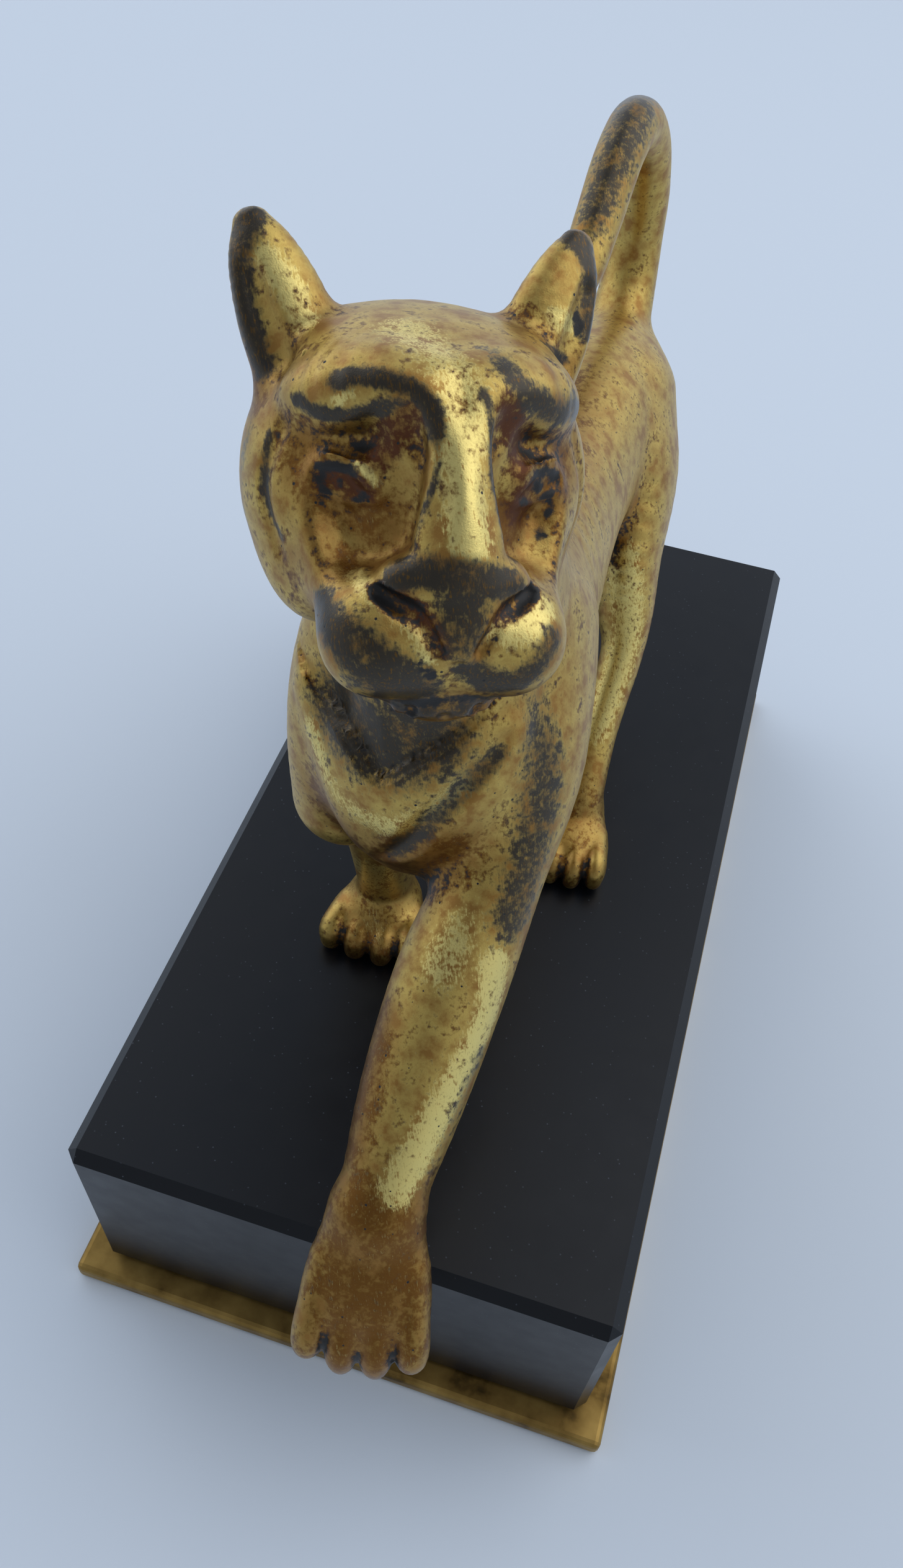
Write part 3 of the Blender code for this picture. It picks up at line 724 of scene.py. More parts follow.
@dataclass
class PantherHead:
    """The head: skull, brows, eyes, nose, muzzle and ears about its own middle, x to either side."""

    centre: Triple = (-2.9, 30.6, 81.7)
    yaw: float = math.radians(29.8)
    pitch: float = math.radians(18.3)
    roll: float = math.radians(6.7)
    clay: Clay = field(default_factory=Clay)

    def skull(self) -> None:
        """Lays on the skull, the cheeks, the jaw and the muzzle's core."""
        head = self.clay
        head.add(Ball((0, -2.0, 0.6), (11.0, 11.0, 8.8)))
        head.add(Tube([(0, -1.5, 6.4, 2.6, 6.0), (6.6, -1.5, 6.2, 2.6, 5.4)], (0, 0, 1)), 2.5)
        head.add(Tube([(0, 0, -0.5, 10.2, 8.4), (0, 6, -2.0, 8.8, 7.8), (0, 10, -5.6, 6.8, 6.6),
                       (0, 12, -8.4, 5.4, 5.4)]), 2.0)
        head.add(Ball((8.5, 0.2, -2.8), (4.4, 6.4, 7.2), (0, 4, 0)), 2.5)
        head.add(Ball((7.5, 2.4, -8.2), (3.3, 5.4, 3.9)), 2.5)
        head.add(Tube([(7.4, 4.0, -4.6, 2.6, 3.0), (6.2, 9.0, -6.6, 2.8, 3.0),
                       (5.2, 12.0, -8.0, 2.6, 2.6)]), 2.0)
        head.add(Tube([(8.0, 5.4, -2.6, 2.2, 2.2), (5.6, 9.8, -3.6, 2.2, 2.2),
                       (3.8, 12.2, -3.8, 1.8, 1.8)]), 2.0)
        head.add(Tube([(0, 2, -8, 8.0, 4.6), (0, 8, -11.0, 6.2, 4.0), (0, 12.0, -12.4, 4.2, 3.0)]), 2.0)

    def brows_and_bridge(self) -> None:
        """Lays on the brows, hollows the eye sockets and draws the straight bridge of the nose."""
        head = self.clay
        head.add(Tube([(0, 5.4, 6.2, 2.5, 5.2), (4.2, 4.8, 6.2, 2.4, 4.8), (6.0, 2.6, 5.3, 1.8, 3.6)],
                      (0, 0, 1)), 4.0)
        head.add(Tube([(1.6, 9.2, 6.2, 1.4, 1.5), (4.5, 7.8, 6.3, 1.4, 1.4), (6.6, 6.6, 5.4, 1.1, 1.1),
                       (8.2, 5.2, 4.8, 0.6, 0.6)], (0, 1, 0)), 3.0)
        head.cut(Ball((7.2, 13.2, 0.6), (5.0, 5.6, 6.4), (0, 0, -20)), 1.2)
        head.cut(Ball((3.8, 13.2, 4.4), (2.2, 2.9, 2.6)), 0.8)
        head.mark([(3.4, 10.2, 4.0, 2.4, -0.5), (3.9, 9.6, 1.0, 3.0, -1.3), (4.4, 9.4, -2.0, 3.0, -1.0)])
        head.add(Tube([(0, 3.5, 7.4, 4.4, 1.6), (0, 9.6, 4.8, 1.5, 2.2), (0, 12.6, 1.6, 1.4, 2.4),
                       (0, 14.4, -1.8, 2.4, 2.4), (0, 15.6, -4.2, 3.4, 1.9)]), 1.2)
        head.add(Tube([(2.1, 14.2, -1.4, 0.4, 0.4), (1.4, 13.5, 1.8, 0.45, 0.55), (1.3, 12.3, 4.4, 0.5, 0.7),
                       (2.0, 11.0, 6.3, 0.55, 0.7), (4.2, 9.5, 6.5, 0.7, 0.8), (6.4, 8.2, 5.1, 0.8, 0.9),
                       (8.4, 6.2, 4.8, 0.6, 0.7), (9.6, 4.0, 4.8, 0.3, 0.3)], (0, 1, 0)), 1.6)

    def eyes(self) -> None:
        """Sets in the eyeballs and draws their lids."""
        head = self.clay
        head.add(Ball((6.5, 7.9, 0.3), (2.6, 1.4, 1.7), (0, 14, -30)), 1.2)
        head.mark([(5.2, 9.7, -0.2, 0.9, 0.4), (6.8, 9.1, 0.0, 1.4, 0.8), (8.2, 7.8, 0.2, 1.0, 0.4)])
        head.mark([(6.9, 8.6, 0.0, 0.8, -0.5)])
        head.mark([(4.6, 9.9, 0.2, 0.4, -0.2), (5.3, 9.9, 1.3, 0.5, -0.45), (6.4, 9.4, 2.0, 0.5, -0.45),
                   (8.2, 7.9, 1.8, 0.5, -0.25)])
        head.mark([(5.2, 9.9, 2.5, 0.6, 0.2), (6.6, 9.0, 2.9, 0.7, 0.3), (8.6, 7.2, 2.5, 0.6, 0.15)])
        head.mark([(5.2, 10.0, -1.2, 0.5, 0.1), (7.0, 9.0, -1.5, 0.6, 0.25), (8.6, 7.4, -0.8, 0.5, 0.1)])

    def nose_and_muzzle(self) -> None:
        """Models the nose, the nostrils, the muzzle pads, the lips and the chin."""
        head = self.clay
        head.add(Ball((3.3, 14.2, -4.4), (1.8, 1.9, 1.5)), 1.0)
        head.add(Ball((4.2, 12.8, -9.2), (4.5, 4.8, 4.3), (0, 0, -20)), 1.8)
        head.add(Tube([(0, 16.0, -4.8, 3.0, 1.2), (0, 16.9, -6.6, 2.3, 1.0), (0, 17.0, -8.4, 1.4, 0.9),
                       (0, 16.6, -10.0, 0.7, 0.7)]), 0.6)
        head.cut(Tube([(1.5, 17.6, -8.2, 0.4, 0.4), (2.1, 17.5, -7.2, 0.5, 0.5), (2.8, 17.2, -6.2, 0.6, 0.5),
                       (3.8, 16.4, -5.6, 0.7, 0.6), (5.2, 14.9, -5.1, 0.5, 0.5)]), 0.4)
        head.add(Tube([(5.7, 12.0, -4.9, 0.3, 0.3), (5.6, 14.0, -5.7, 0.5, 0.5), (4.4, 15.3, -6.8, 0.6, 0.6),
                       (3.2, 16.3, -7.3, 0.55, 0.55), (2.2, 16.8, -8.4, 0.4, 0.4)]), 0.7)
        head.mark([(0.1, 17.5, -9.4, 0.9, 0.4), (0.1, 17.5, -11.0, 1.0, 0.9), (0.1, 17.2, -12.6, 1.0, 0.7)])
        head.add(Ball((0, 12.6, -13.2), (3.7, 3.2, 2.4)), 0.8)
        head.cut(Tube([(0, 17.0, -12.4, 0.5, 0.5), (3.6, 15.6, -13.4, 0.5, 0.5), (7.2, 11.8, -12.4, 0.5, 0.5),
                       (9.4, 7.4, -9.8, 0.4, 0.4)]), 0.5)
        # The rough edge of the lower lip
        for across, ahead, drop, swell in (
                (0.0, 15.6, -14.3, 0.3), (1.3, 15.2, -13.9, -0.45), (2.3, 15.0, -14.6, -0.3),
                (3.1, 14.4, -14.0, -0.4), (2.2, 14.8, -13.7, 0.3), (4.2, 13.2, -13.9, 0.3)):
            head.mark([(across, ahead, drop, 0.8, swell)])

    def cheeks(self) -> None:
        """Cuts the crease behind the cheek."""
        head = self.clay
        head.cut(Tube([(10.8, 4.8, 2.6, 0.5, 0.5), (12.0, 4.8, -1.4, 0.6, 0.6),
                       (11.0, 6.0, -6.0, 0.5, 0.5)]), 0.6)

    def ears(self) -> None:
        """Models the ears, hollow to the outside."""
        head = self.clay
        side = (0.7, 0.1, -0.7)
        head.add(Tube([(8.4, -1.4, 4.6, 3.4, 2.6), (9.7, -2.2, 8.6, 3.4, 2.3), (11.0, -3.4, 11.8, 2.6, 1.8),
                       (11.8, -4.4, 13.9, 1.4, 1.1)], side), 1.4)
        head.cut(Tube([(11.0, 1.6, 6.6, 1.5, 1.7), (11.9, 0.2, 9.2, 1.4, 1.5), (12.4, -1.4, 11.4, 0.8, 0.9)],
                      side), 0.6)

    def posed(self) -> Posed:
        """Models the head and sets it on the neck.

        Returns:
            The posed head.
        """
        for part in (self.skull, self.brows_and_bridge, self.eyes, self.nose_and_muzzle, self.cheeks,
                     self.ears):
            part()
        return Posed(self.clay, self.centre, self.yaw, self.pitch, self.roll)


@dataclass
class PantherBody:
    """The body, legs and tail: x to the animal's left, y back and z up from its soles."""

    toe_places: tuple[float, ...] = (-1.5, -0.5, 0.5, 1.5)
    clay: Clay = field(default_factory=Clay)

    def torso(self) -> None:
        """Models the chest, back, loins, rump and the neck with its carved collar."""
        clay = self.clay
        clay.add(Tube([(-0.8, 34, 48, 11.6, 13.4), (-0.8, 44, 46, 12.4, 16.5), (-0.4, 60, 43.5, 10.2, 14.0),
                       (0.0, 78, 42.5, 8.8, 11.6), (0.4, 94, 42, 9.0, 11.8), (0.6, 105, 40.5, 8.8, 11.4),
                       (0.6, 110, 40, 7.6, 9.8)]))
        clay.add(Tube([(-1.2, 45, 52, 11.0, 12), (-1.8, 39, 61, 10.8, 12.0), (-2.5, 34, 70, 10.2, 11.4),
                       (-2.9, 31.5, 78, 9.4, 9.6)]), 4.0)
        clay.add(Ball((-1.2, 31, 47), (9.0, 7.6, 13.6), (-12, 0, 0)), 3.0)
        clay.add(Tube([(-8.6, 41, 61, 5.6, 8.0), (-9.4, 37, 52, 6.5, 8.4), (-9.8, 35.5, 44, 6.6, 8.0),
                       (-9.8, 34.5, 35.5, 6.2, 7.0)]), 2.0)
        clay.add(Tube([(-12.0, 31.0, 53, 0.8, 0.8), (-7.6, 26.6, 47, 1.2, 1.2), (-2.8, 25.0, 41.5, 1.6, 1.6),
                       (2.4, 25.8, 47.5, 1.2, 1.2), (6.4, 30.0, 55, 0.8, 0.8)]), 2.5)
        clay.mark([(-12.4, 30.6, 54.8, 5.0, 0.5), (-10.2, 28.5, 54.2, 5.0, 1.0), (-6.6, 25.1, 53.2, 5.5, 1.2),
                   (-3.2, 23.1, 51.6, 6.0, 1.3), (-0.4, 23.7, 53.9, 5.5, 1.2), (2.5, 25.4, 56.0, 5.0, 1.0),
                   (5.2, 28.4, 58.5, 4.0, 0.3)], (0, 0, 1), 0.6)
        clay.mark([(-3.4, 22.4, 40.2, 1.2, 0.2), (-0.5, 22.0, 43.5, 1.8, 0.9), (1.9, 22.3, 48.3, 2.0, 1.1),
                   (4.2, 24.0, 51.7, 2.0, 1.0), (6.1, 26.6, 54.4, 1.6, 0.6), (7.5, 29.1, 56.0, 1.2, 0.1)])

    def paw(self, heel: Triple, toes: Triple, half_width: float) -> None:
        """Models a paw with a broad back and four toes with grooves between.

        Args:
            heel: The middle of its heel.
            toes: The middle of its toe tips.
            half_width: Half its width.
        """
        heel = np.array(heel, float)
        run = np.array(toes, float) - heel
        along = run / np.linalg.norm(run)
        side = np.cross(along, (0, 0, 1.0))
        side /= np.linalg.norm(side)
        up = np.cross(side, along)
        self.clay.add(Tube([(*(heel + up * 0.6), half_width * 0.72, 3.4),
                            (*(heel + run * 0.48 + up * 0.4), half_width, 3.2),
                            (*(heel + run * 0.72), half_width * 0.86, 2.4)], side), 2.0)
        thick = half_width * 0.29
        for place in self.toe_places:
            shift = place * half_width * 0.52
            back = heel + run * 0.30 + side * shift * 0.8 + up * 0.7
            bend = heel + run * (0.80 - 0.02 * place ** 2) + side * shift + up * 0.5
            tip = heel + run * (0.97 - 0.035 * place ** 2) + side * shift * 1.02 - up * 0.9
            self.clay.add(Tube([(*back, thick, 2.0), (*bend, thick, 2.3), (*tip, thick * 0.8, 1.5)], side),
                          0.4)

    def forelegs(self) -> None:
        """Models the standing right foreleg and the left one, stretched out in front."""
        clay = self.clay
        clay.add(Tube([(-6.6, 48, 58, 4.4, 8.0), (-9.8, 42, 48, 5.4, 9.0), (-10.4, 41, 36, 5.0, 7.4),
                       (-9.6, 42, 22, 4.2, 4.8), (-8.8, 43, 9, 3.6, 3.9), (-8.6, 42.5, 4.5, 3.8, 4.0)]), 2.5)
        self.paw((-8.6, 43.5, 2.8), (-8.4, 35.2, 2.1), 6.4)
        clay.add(Tube([(6.5, 46, 54, 4.2, 9.0), (8.6, 37, 45, 5.0, 8.6), (7.8, 27, 37.8, 5.0, 6.0),
                       (6.5, 18.5, 31.2, 5.7, 6.2), (5.8, 8.5, 24.2, 5.3, 5.5),
                       (5.5, -1.0, 17.7, 4.0, 4.1)]), 2.5)
        self.paw((5.4, -0.6, 17.2), (7.4, -12.4, 4.4), 6.5)

    def hind_legs(self) -> None:
        """Models the left hind leg, which steps forward, and the right one, which pushes off."""
        clay = self.clay
        clay.add(Tube([(4.6, 104, 43, 5.5, 9.0), (7.8, 98, 36, 5.4, 11.0), (9.6, 89, 29, 4.4, 7.4),
                       (11.0, 84.0, 24, 3.8, 4.6), (12.0, 80.0, 19.6, 2.9, 3.5),
                       (11.6, 72.0, 12.6, 2.7, 2.9), (11.6, 65.0, 6.4, 3.1, 3.2)]), 2.5)
        self.paw((11.6, 64.5, 2.8), (12.0, 54.4, 2.1), 5.4)
        clay.add(Tube([(-3.4, 105, 43, 5.5, 9.0), (-6.6, 103, 35, 5.4, 10.4), (-8.4, 101, 27, 4.4, 7.4),
                       (-9.6, 108, 21.0, 3.7, 4.8), (-10.0, 116, 16.0, 2.8, 3.5), (-10.0, 117, 9.0, 2.6, 2.8),
                       (-10.0, 116.5, 5.0, 3.1, 3.2)]), 2.5)
        self.paw((-10.0, 117.0, 2.8), (-10.0, 106.8, 2.1), 5.4)

    def tail(self) -> None:
        """Models the tail, which rises from the rump and bends forward over the back."""
        clay = self.clay
        clay.add(Tube([(0.4, 108, 45, 4.6, 4.6), (0.0, 115.5, 50.5, 3.9, 3.9), (-0.1, 118.5, 57, 3.4, 3.4),
                       (0.0, 117.5, 63.5, 3.2, 3.2), (-0.5, 114.5, 70.4, 3.1, 3.1),
                       (-1.2, 109, 74.8, 3.0, 3.0), (-1.6, 102, 74.3, 2.9, 2.9), (-1.8, 95, 70.6, 2.8, 2.8),
                       (-2.0, 88.5, 66.8, 2.5, 2.5), (-2.2, 85, 64.8, 1.7, 1.7)]), 1.5)

    def modelled(self) -> Clay:
        """Models the whole body.

        Returns:
            The clay, soles down to z = 0.
        """
        for part in (self.torso, self.forelegs, self.hind_legs, self.tail):
            part()
        return self.clay


@dataclass
class Skin:
    """Turns a solid into a closed skin of quads on a lattice that is finer round the head."""

    fine: float = 0.34
    plain: float = 0.60
    fine_from: Triple = (-20.0, 8.0, 62.0)
    fine_to: Triple = (20.0, 40.0, 98.0)
    # Empty steps left round the solid, and steps to either side of its surface that are refined
    margin: float = 1.5
    band: float = 2.6
    # Held while points settle on the surface
    least_slope: float = 0.25
    longest_move: float = 0.4

    def axis(self, low: float, high: float, way: int) -> np.ndarray:
        """Spaces the lattice along one direction.

        Args:
            low: Where the solid starts.
            high: Where it ends.
            way: The direction's number.

        Returns:
            The lattice's places.
        """
        places = [low - self.margin * self.fine]
        while places[-1] < high + self.margin * self.plain:
            fine = self.fine_from[way] < places[-1] < self.fine_to[way]
            places.append(places[-1] + (self.fine if fine else self.plain))
        return np.array(places)

    def near_values(self, distance: Field, axes: list[np.ndarray], values: np.ndarray,
                    block: int) -> np.ndarray:
        """Refines the lattice's values near the surface, a block of points at a time.

        Args:
            distance: The solid.
            axes: The lattice's places.
            values: The values so far.
            block: How many points a block has each way, 1 for the last pass.

        Returns:
            The refined values.
        """
        counts = values.shape
        step = max(np.diff(axis).max() for axis in axes)
        starts = [np.arange(0, count, block) for count in counts]
        middles = [np.add.reduceat(axis, first) / np.diff(np.append(first, len(axis)))
                   for axis, first in zip(axes, starts)]
        rough = values[tuple(np.ix_(*(np.minimum(first + block // 2, count - 1)
                                      for first, count in zip(starts, counts))))]
        band = self.band * block * step
        near = np.abs(rough) < band
        grid = np.argwhere(near)
        places = np.column_stack([middles[way][grid[:, way]] for way in range(3)])
        rough[near] = distance(places, max(band, CLOSE))
        for way in range(3):
            rough = rough.repeat(block, axis=way)
        return rough[:counts[0], :counts[1], :counts[2]].copy()

    def lattice_values(self, distance: Field, axes: list[np.ndarray]) -> np.ndarray:
        """Works out the distance at every lattice point, exactly only near the surface.

        Args:
            distance: The solid.
            axes: The lattice's places.

        Returns:
            The values.
        """
        values = np.zeros([len(axis) for axis in axes])
        for block in (8, 4, 2, 1):
            values = self.near_values(distance, axes, values, block)
        return values

    @staticmethod
    def fill_pinches(values: np.ndarray, rounds: int = 20) -> np.ndarray:
        """Fills lattice corners in wherever the solid would touch itself along an edge.

        Args:
            values: The lattice's values.
            rounds: The most rounds of filling.

        Returns:
            The mended values.
        """
        corners = list(itertools.product((0, 1), repeat=3))
        pairs = [(a, b) for a, b in itertools.combinations(corners, 2) if sum(np.abs(np.subtract(a, b))) > 1]
        cells = np.array(values.shape) - 1
        views = {corner: values[tuple(slice(c, c + n) for c, n in zip(corner, cells))] for corner in corners}
        for _ in range(rounds):
            pinches = 0
            for a, b in pairs:
                apart = [way for way in range(3) if a[way] != b[way]]
                box = [corner for corner in corners
                       if all(corner[way] == a[way] for way in range(3) if way not in apart)]
                between = [corner for corner in box if corner not in (a, b)]
                pinched = (views[a] < 0) & (views[b] < 0)
                for corner in between:
                    pinched &= views[corner] >= 0
                pinches += pinched.sum()
                for corner in between:
                    views[corner][pinched] = -PINCH_FILL
            if not pinches:
                break
        return values

    def quads(self, distance: Field, low: np.ndarray, high: np.ndarray) -> tuple[np.ndarray, np.ndarray]:
        """Draws the skin: one point in each lattice cell that the surface crosses.

        Args:
            distance: The solid.
            low: Its lowest corner.
            high: Its highest corner.

        Returns:
            The points and the quads.
        """
        axes = [self.axis(low[way], high[way], way) for way in range(3)]
        values = self.fill_pinches(self.lattice_values(distance, axes))
        inside = values < 0
        cells = np.array(values.shape) - 1
        total = np.zeros((*cells, 3))
        count = np.zeros(cells)
        for way in range(3):
            for first, second in itertools.product((0, 1), repeat=2):
                corner = np.insert([first, second], way, 0)
                other = corner + np.eye(3, dtype=int)[way]
                a, b = (tuple(slice(c, c + n) for c, n in zip(place, cells)) for place in (corner, other))
                crossed = inside[a] != inside[b]
                share = values[a][crossed] / (values[a][crossed] - values[b][crossed])
                spot = np.tile(corner.astype(float), (len(share), 1))
                spot[:, way] = share
                total[crossed] += spot
                count[crossed] += 1
        used = count > 0
        index = np.full(cells, -1)
        index[used] = np.arange(used.sum())
        shares = total[used] / count[used][:, None]
        grid = np.argwhere(used)
        points = np.column_stack([axes[way][grid[:, way]] + shares[:, way] * np.diff(axes[way])[grid[:, way]]
                                  for way in range(3)])
        faces = []
        for way in range(3):
            ahead = tuple(slice(1, None) if axis == way else slice(None) for axis in range(3))
            behind = tuple(slice(None, -1) if axis == way else slice(None) for axis in range(3))
            crossed = np.argwhere(inside[behind] != inside[ahead])
            starts_inside = inside[tuple(crossed.T)]
            u, v = np.eye(3, dtype=int)[(way + 1) % 3], np.eye(3, dtype=int)[(way + 2) % 3]
            ring = [crossed - u - v, crossed - v, crossed, crossed - u]
            square = np.column_stack([index[tuple(place.T)] for place in ring])
            square[~starts_inside] = square[~starts_inside][:, ::-1]
            faces.append(square)
        return points, np.vstack(faces)

    @staticmethod
    def slope(distance: Field, points: np.ndarray, reach: float = 0.02) -> np.ndarray:
        """Finds which way the distance grows at each point.

        Args:
            distance: The solid.
            points: Where to look.
            reach: How far to either side to look.

        Returns:
            The slopes.
        """
        return np.column_stack([distance(points + offset, CLOSE) - distance(points - offset, CLOSE)
                                for offset in np.eye(3) * reach]) / (2 * reach)

    def settle(self, distance: Field, points: np.ndarray, rounds: int = 2) -> np.ndarray:
        """Moves points on to the surface along its slope.

        Args:
            distance: The solid.
            points: The points.
            rounds: How many moves.

        Returns:
            The moved points.
        """
        slope = self.slope(distance, points)
        size = np.maximum((slope ** 2).sum(axis=1), self.least_slope)
        for _ in range(rounds):
            move = np.clip(distance(points, CLOSE) / size, -self.longest_move, self.longest_move)
            points = points - slope * move[:, None]
        return points


@dataclass(frozen=True)
class WearMark:
    """A worn or dirty place: a path over the skin, how wide it is and how strong."""

    path: tuple[Triple, ...]
    width: float
    strength: float = 1.0

    def amount(self, points: np.ndarray) -> np.ndarray:
        """Says how much of the mark each point has.

        Args:
            points: Points in the mark's own frame.

        Returns:
            Shares from 0 to the mark's strength.
        """
        stops = np.array(self.path, float)
        if len(stops) > 2:
            stops = smooth_path(stops, 3)
        near = np.all((points > stops.min(axis=0) - 2 * self.width)
                      & (points < stops.max(axis=0) + 2 * self.width), axis=1)
        spots = points[near]
        away = np.linalg.norm(spots - stops[0], axis=1)
        for start, end in zip(stops[:-1], stops[1:]):
            run = end - start
            share = np.clip((spots - start) @ run / (run @ run), 0.0, 1.0)[:, None]
            away = np.minimum(away, np.linalg.norm(spots - start - run * share, axis=1))
        # Whole within a third of the width, and gone at five thirds of it
        share = np.clip(1.25 - 0.75 * away / self.width, 0.0, 1.0)
        amount = np.zeros(len(points))
        amount[near] = self.strength * share * share * (3 - 2 * share)
        return amount


# Worn places and painted highlights and shade on the head, in its own frame: x to the animal's
# left, y ahead and z up. Each row is a path over the skin, its width and, where it isn't 1, its strength
HEAD_WEAR = {
    Wear.DARK: (
        # Brow ridges and the sides of the bridge, rubbed through to the bronze
        (((-10, 6.5, 4.8), (-8.5, 8, 4.5), (-7, 9, 4.6), (-5.5, 10, 5.2), (-4, 11, 6)), 0.6, 0.95),
        (((-7.5, 8.5, 6.6), (-6, 9.5, 7.3), (-4.5, 10.5, 7.4), (-3, 11.3, 7), (-2, 12, 6),
          (-1.5, 12.5, 4.5)), 0.8, 0.95),
        (((-1.5, 12.5, 5), (-1.5, 13.5, 3), (-2, 14, 1.5), (-2.5, 14.5, -1), (-3, 14.5, -2.5)),
          0.4, 0.8),
        (((1.5, 11.5, 7), (2, 12.5, 4.5), (2, 13.5, 2.5), (2.5, 14, 1), (3, 14.5, -1.5),
          (4, 14.5, -3)), 0.45, 0.9),
        (((2.5, 8, 8), (3.5, 10, 7.5), (5, 10, 6.5), (7, 9, 5.5), (9, 6.5, 5)), 1.1, 0.9),
        # The top of the nose, and its front down to the lips
        (((-4, 15.5, -3.5), (-2.5, 16.5, -3), (-0.5, 17, -3), (1.5, 17, -3.5), (3.5, 16.5, -4)),
          1.3, 0.95),
        (((0, 17.5, -5), (0.2, 17.8, -7)), 2.0, 0.8),
        # The fronts of the two muzzle pads
        (((-8, 12, -7.5), (-7.5, 15, -8), (-6, 16, -9.5), (-4.5, 17, -10.5), (-2.5, 16.5, -11.5)),
          1.8, 0.95),
        (((-7, 15, -7.5), (-5.5, 16.8, -8.5), (-3.5, 17.5, -10)), 1.4, 0.9),
        (((1, 17, -9.5), (3, 17, -11), (5, 17, -10), (6.5, 16, -8)), 1.2, 0.9),
        # Ear tips and outer rims
        (((-12, -3.5, 14.5), (-13, -2.5, 12), (-13, -2, 10), (-12.5, -1, 8), (-11.5, 0, 5.5)),
          1.2, 0.95),
        (((11, -4, 15), (12.5, -2.5, 13), (13, -2.5, 11), (12.5, -1.5, 9)), 1.2, 0.95),
        # The crease round the cheek and the side of the jaw
        (((-11.5, 4, 2), (-11.5, 4.5, -2), (-10.5, 6, -4.5)), 0.5, 0.8),
        (((-12.5, 1, 1), (-12.5, 0.5, -3), (-12, 1, -7)), 0.9, 0.5),
        (((-4, 15, -13.5), (-1, 16, -14), (3, 15.5, -13)), 1.2, 0.7),
    ),
    Wear.BRIGHT: (
        # Polished gold on the forehead, the bridge, the ears' fronts, the pads and the upper lids, and
        # painted highlights on the same places, most of all on the upper lids and the bridge
        (((-2.5, 5, 8.5), (-1, 8.5, 7.5), (0, 11, 6.5)), 2.2, 0.7),
        (((0, 10, 7), (0.3, 13, 5), (-0.3, 14, 3.5), (0, 15.5, 1.5), (0.3, 16, -1)), 1.6),
        (((-11, -1.5, 12), (-9.5, -0.5, 10.5), (-8.5, 0.5, 8.5)), 1.1, 0.9),
        (((-6, 12, -5), (-5.5, 14.5, -5.5), (-4.5, 15.5, -6.5), (-3, 16.5, -7), (-2, 17, -8.5)),
          0.8),
        (((2.5, 16.5, -7), (4.5, 16.5, -7), (6, 15.5, -6)), 1.2),
        (((-6.8, 9.2, 1.9), (-5.8, 10, 1.6), (-5, 10.2, 0.8)), 0.4),
        (((6, 8.5, 2.2), (5.5, 10, 1)), 0.4, 0.9),
        (((-7.5, 9, 5.5), (-6, 9.5, 6.5)), 0.5, 0.8),
        (((12, -1, 9), (9.5, 0, 9.5)), 0.9, 0.8),
    ),
    Wear.AGED_AND_SHADE: (
        # Browned gilding in the sockets, down the cheeks and under the chin, partly painted shade in the
        # sockets and under the chin
        (((-9, 7, 1), (-7, 9, -1), (-4.5, 10.5, -2)), 2.6, 0.8),
        (((9, 7, 1), (7, 9, -1), (4.5, 10.5, -2)), 2.6, 0.8),
        (((-9, 6, -6), (-6, 11, -5)), 2.0, 0.7),
        (((-4, 14, -14), (4, 14, -13)), 3.0, 0.9),
        (((-13, -2, 6), (-11.5, 0, 3)), 2.0, 0.8),
    ),
    Wear.RUST_AND_SHADE: (
        # Red-brown grime in the sockets' inner corners, the irises and the nostrils, with painted shade in
        # the deep inner corners and the nostrils
        (((-3, 11.5, 5.5), (-4, 10, 3.5), (-4.5, 9.5, 2)), 1.3, 0.9),
        (((-5.8, 9.7, 0), (-7, 9.2, 0.2), (-8, 8.3, 0.3)), 1.0, 1.1),
        (((3.5, 11.5, 6), (4.5, 9.5, 3.5), (5, 9.5, 1), (5.5, 9.5, -1)), 1.3),
        (((-4.5, 15.5, -4.5), (-3, 16.5, -5.5), (-1.5, 17.5, -7), (-1, 17.5, -8)), 0.8),
        (((2, 17, -6.5), (4, 16.5, -5.5)), 0.8, 0.8),
    ),
    Wear.GRIME_AND_SHADE: (
        # Black grime round the eyes, in the left cheek's pits, the ears and the lips, with painted shade in
        # the lid creases, the ears' hollows and the line of the lips
        (((-5.2, 9.8, 0.4), (-6, 9.3, 1), (-7.2, 8.8, 1.2), (-8.4, 7.9, 0.8)), 0.45),
        (((-5.4, 9.7, -0.5), (-6.6, 9.3, -1), (-8, 8.2, -0.6)), 0.35, 0.9),
        (((-7, 8.8, 0.1),), 0.4, 0.8),
        (((5.2, 9.8, 0.4), (6.2, 9.3, 1), (7.5, 8.6, 1.1), (8.4, 7.9, 0.7)), 0.45, 0.9),
        (((5.6, 9.7, -0.7), (7, 9.1, -1), (8, 8.2, -0.6)), 0.4, 0.9),
        (((6.9, 8.8, 0.1),), 0.6),
        (((-8.5, 7.8, 3), (-8, 8.2, 2.6)), 0.5, 0.8),
        (((7.5, 8.6, -3.4), (8, 8, -4)), 0.6),
        (((5, 10.5, -1.8), (6.5, 9.8, -2.2), (8.5, 7.8, -1.8)), 0.35, 0.9),
        (((8, 2, 8), (10.5, -0.5, 6.5)), 0.6, 0.9),
        (((11.5, -1.5, 9.5), (11.8, -1, 8.5)), 0.5, 0.9),
        (((-2.4, 17, -9), (-1.6, 17.4, -10.4), (-0.8, 17.4, -11.6)), 0.5, 0.9),
        (((-6, 15.5, -12.4), (-3, 15.5, -13.2), (0, 16, -12.6), (4, 15.8, -12.8)), 0.5, 0.8),
    ),
}
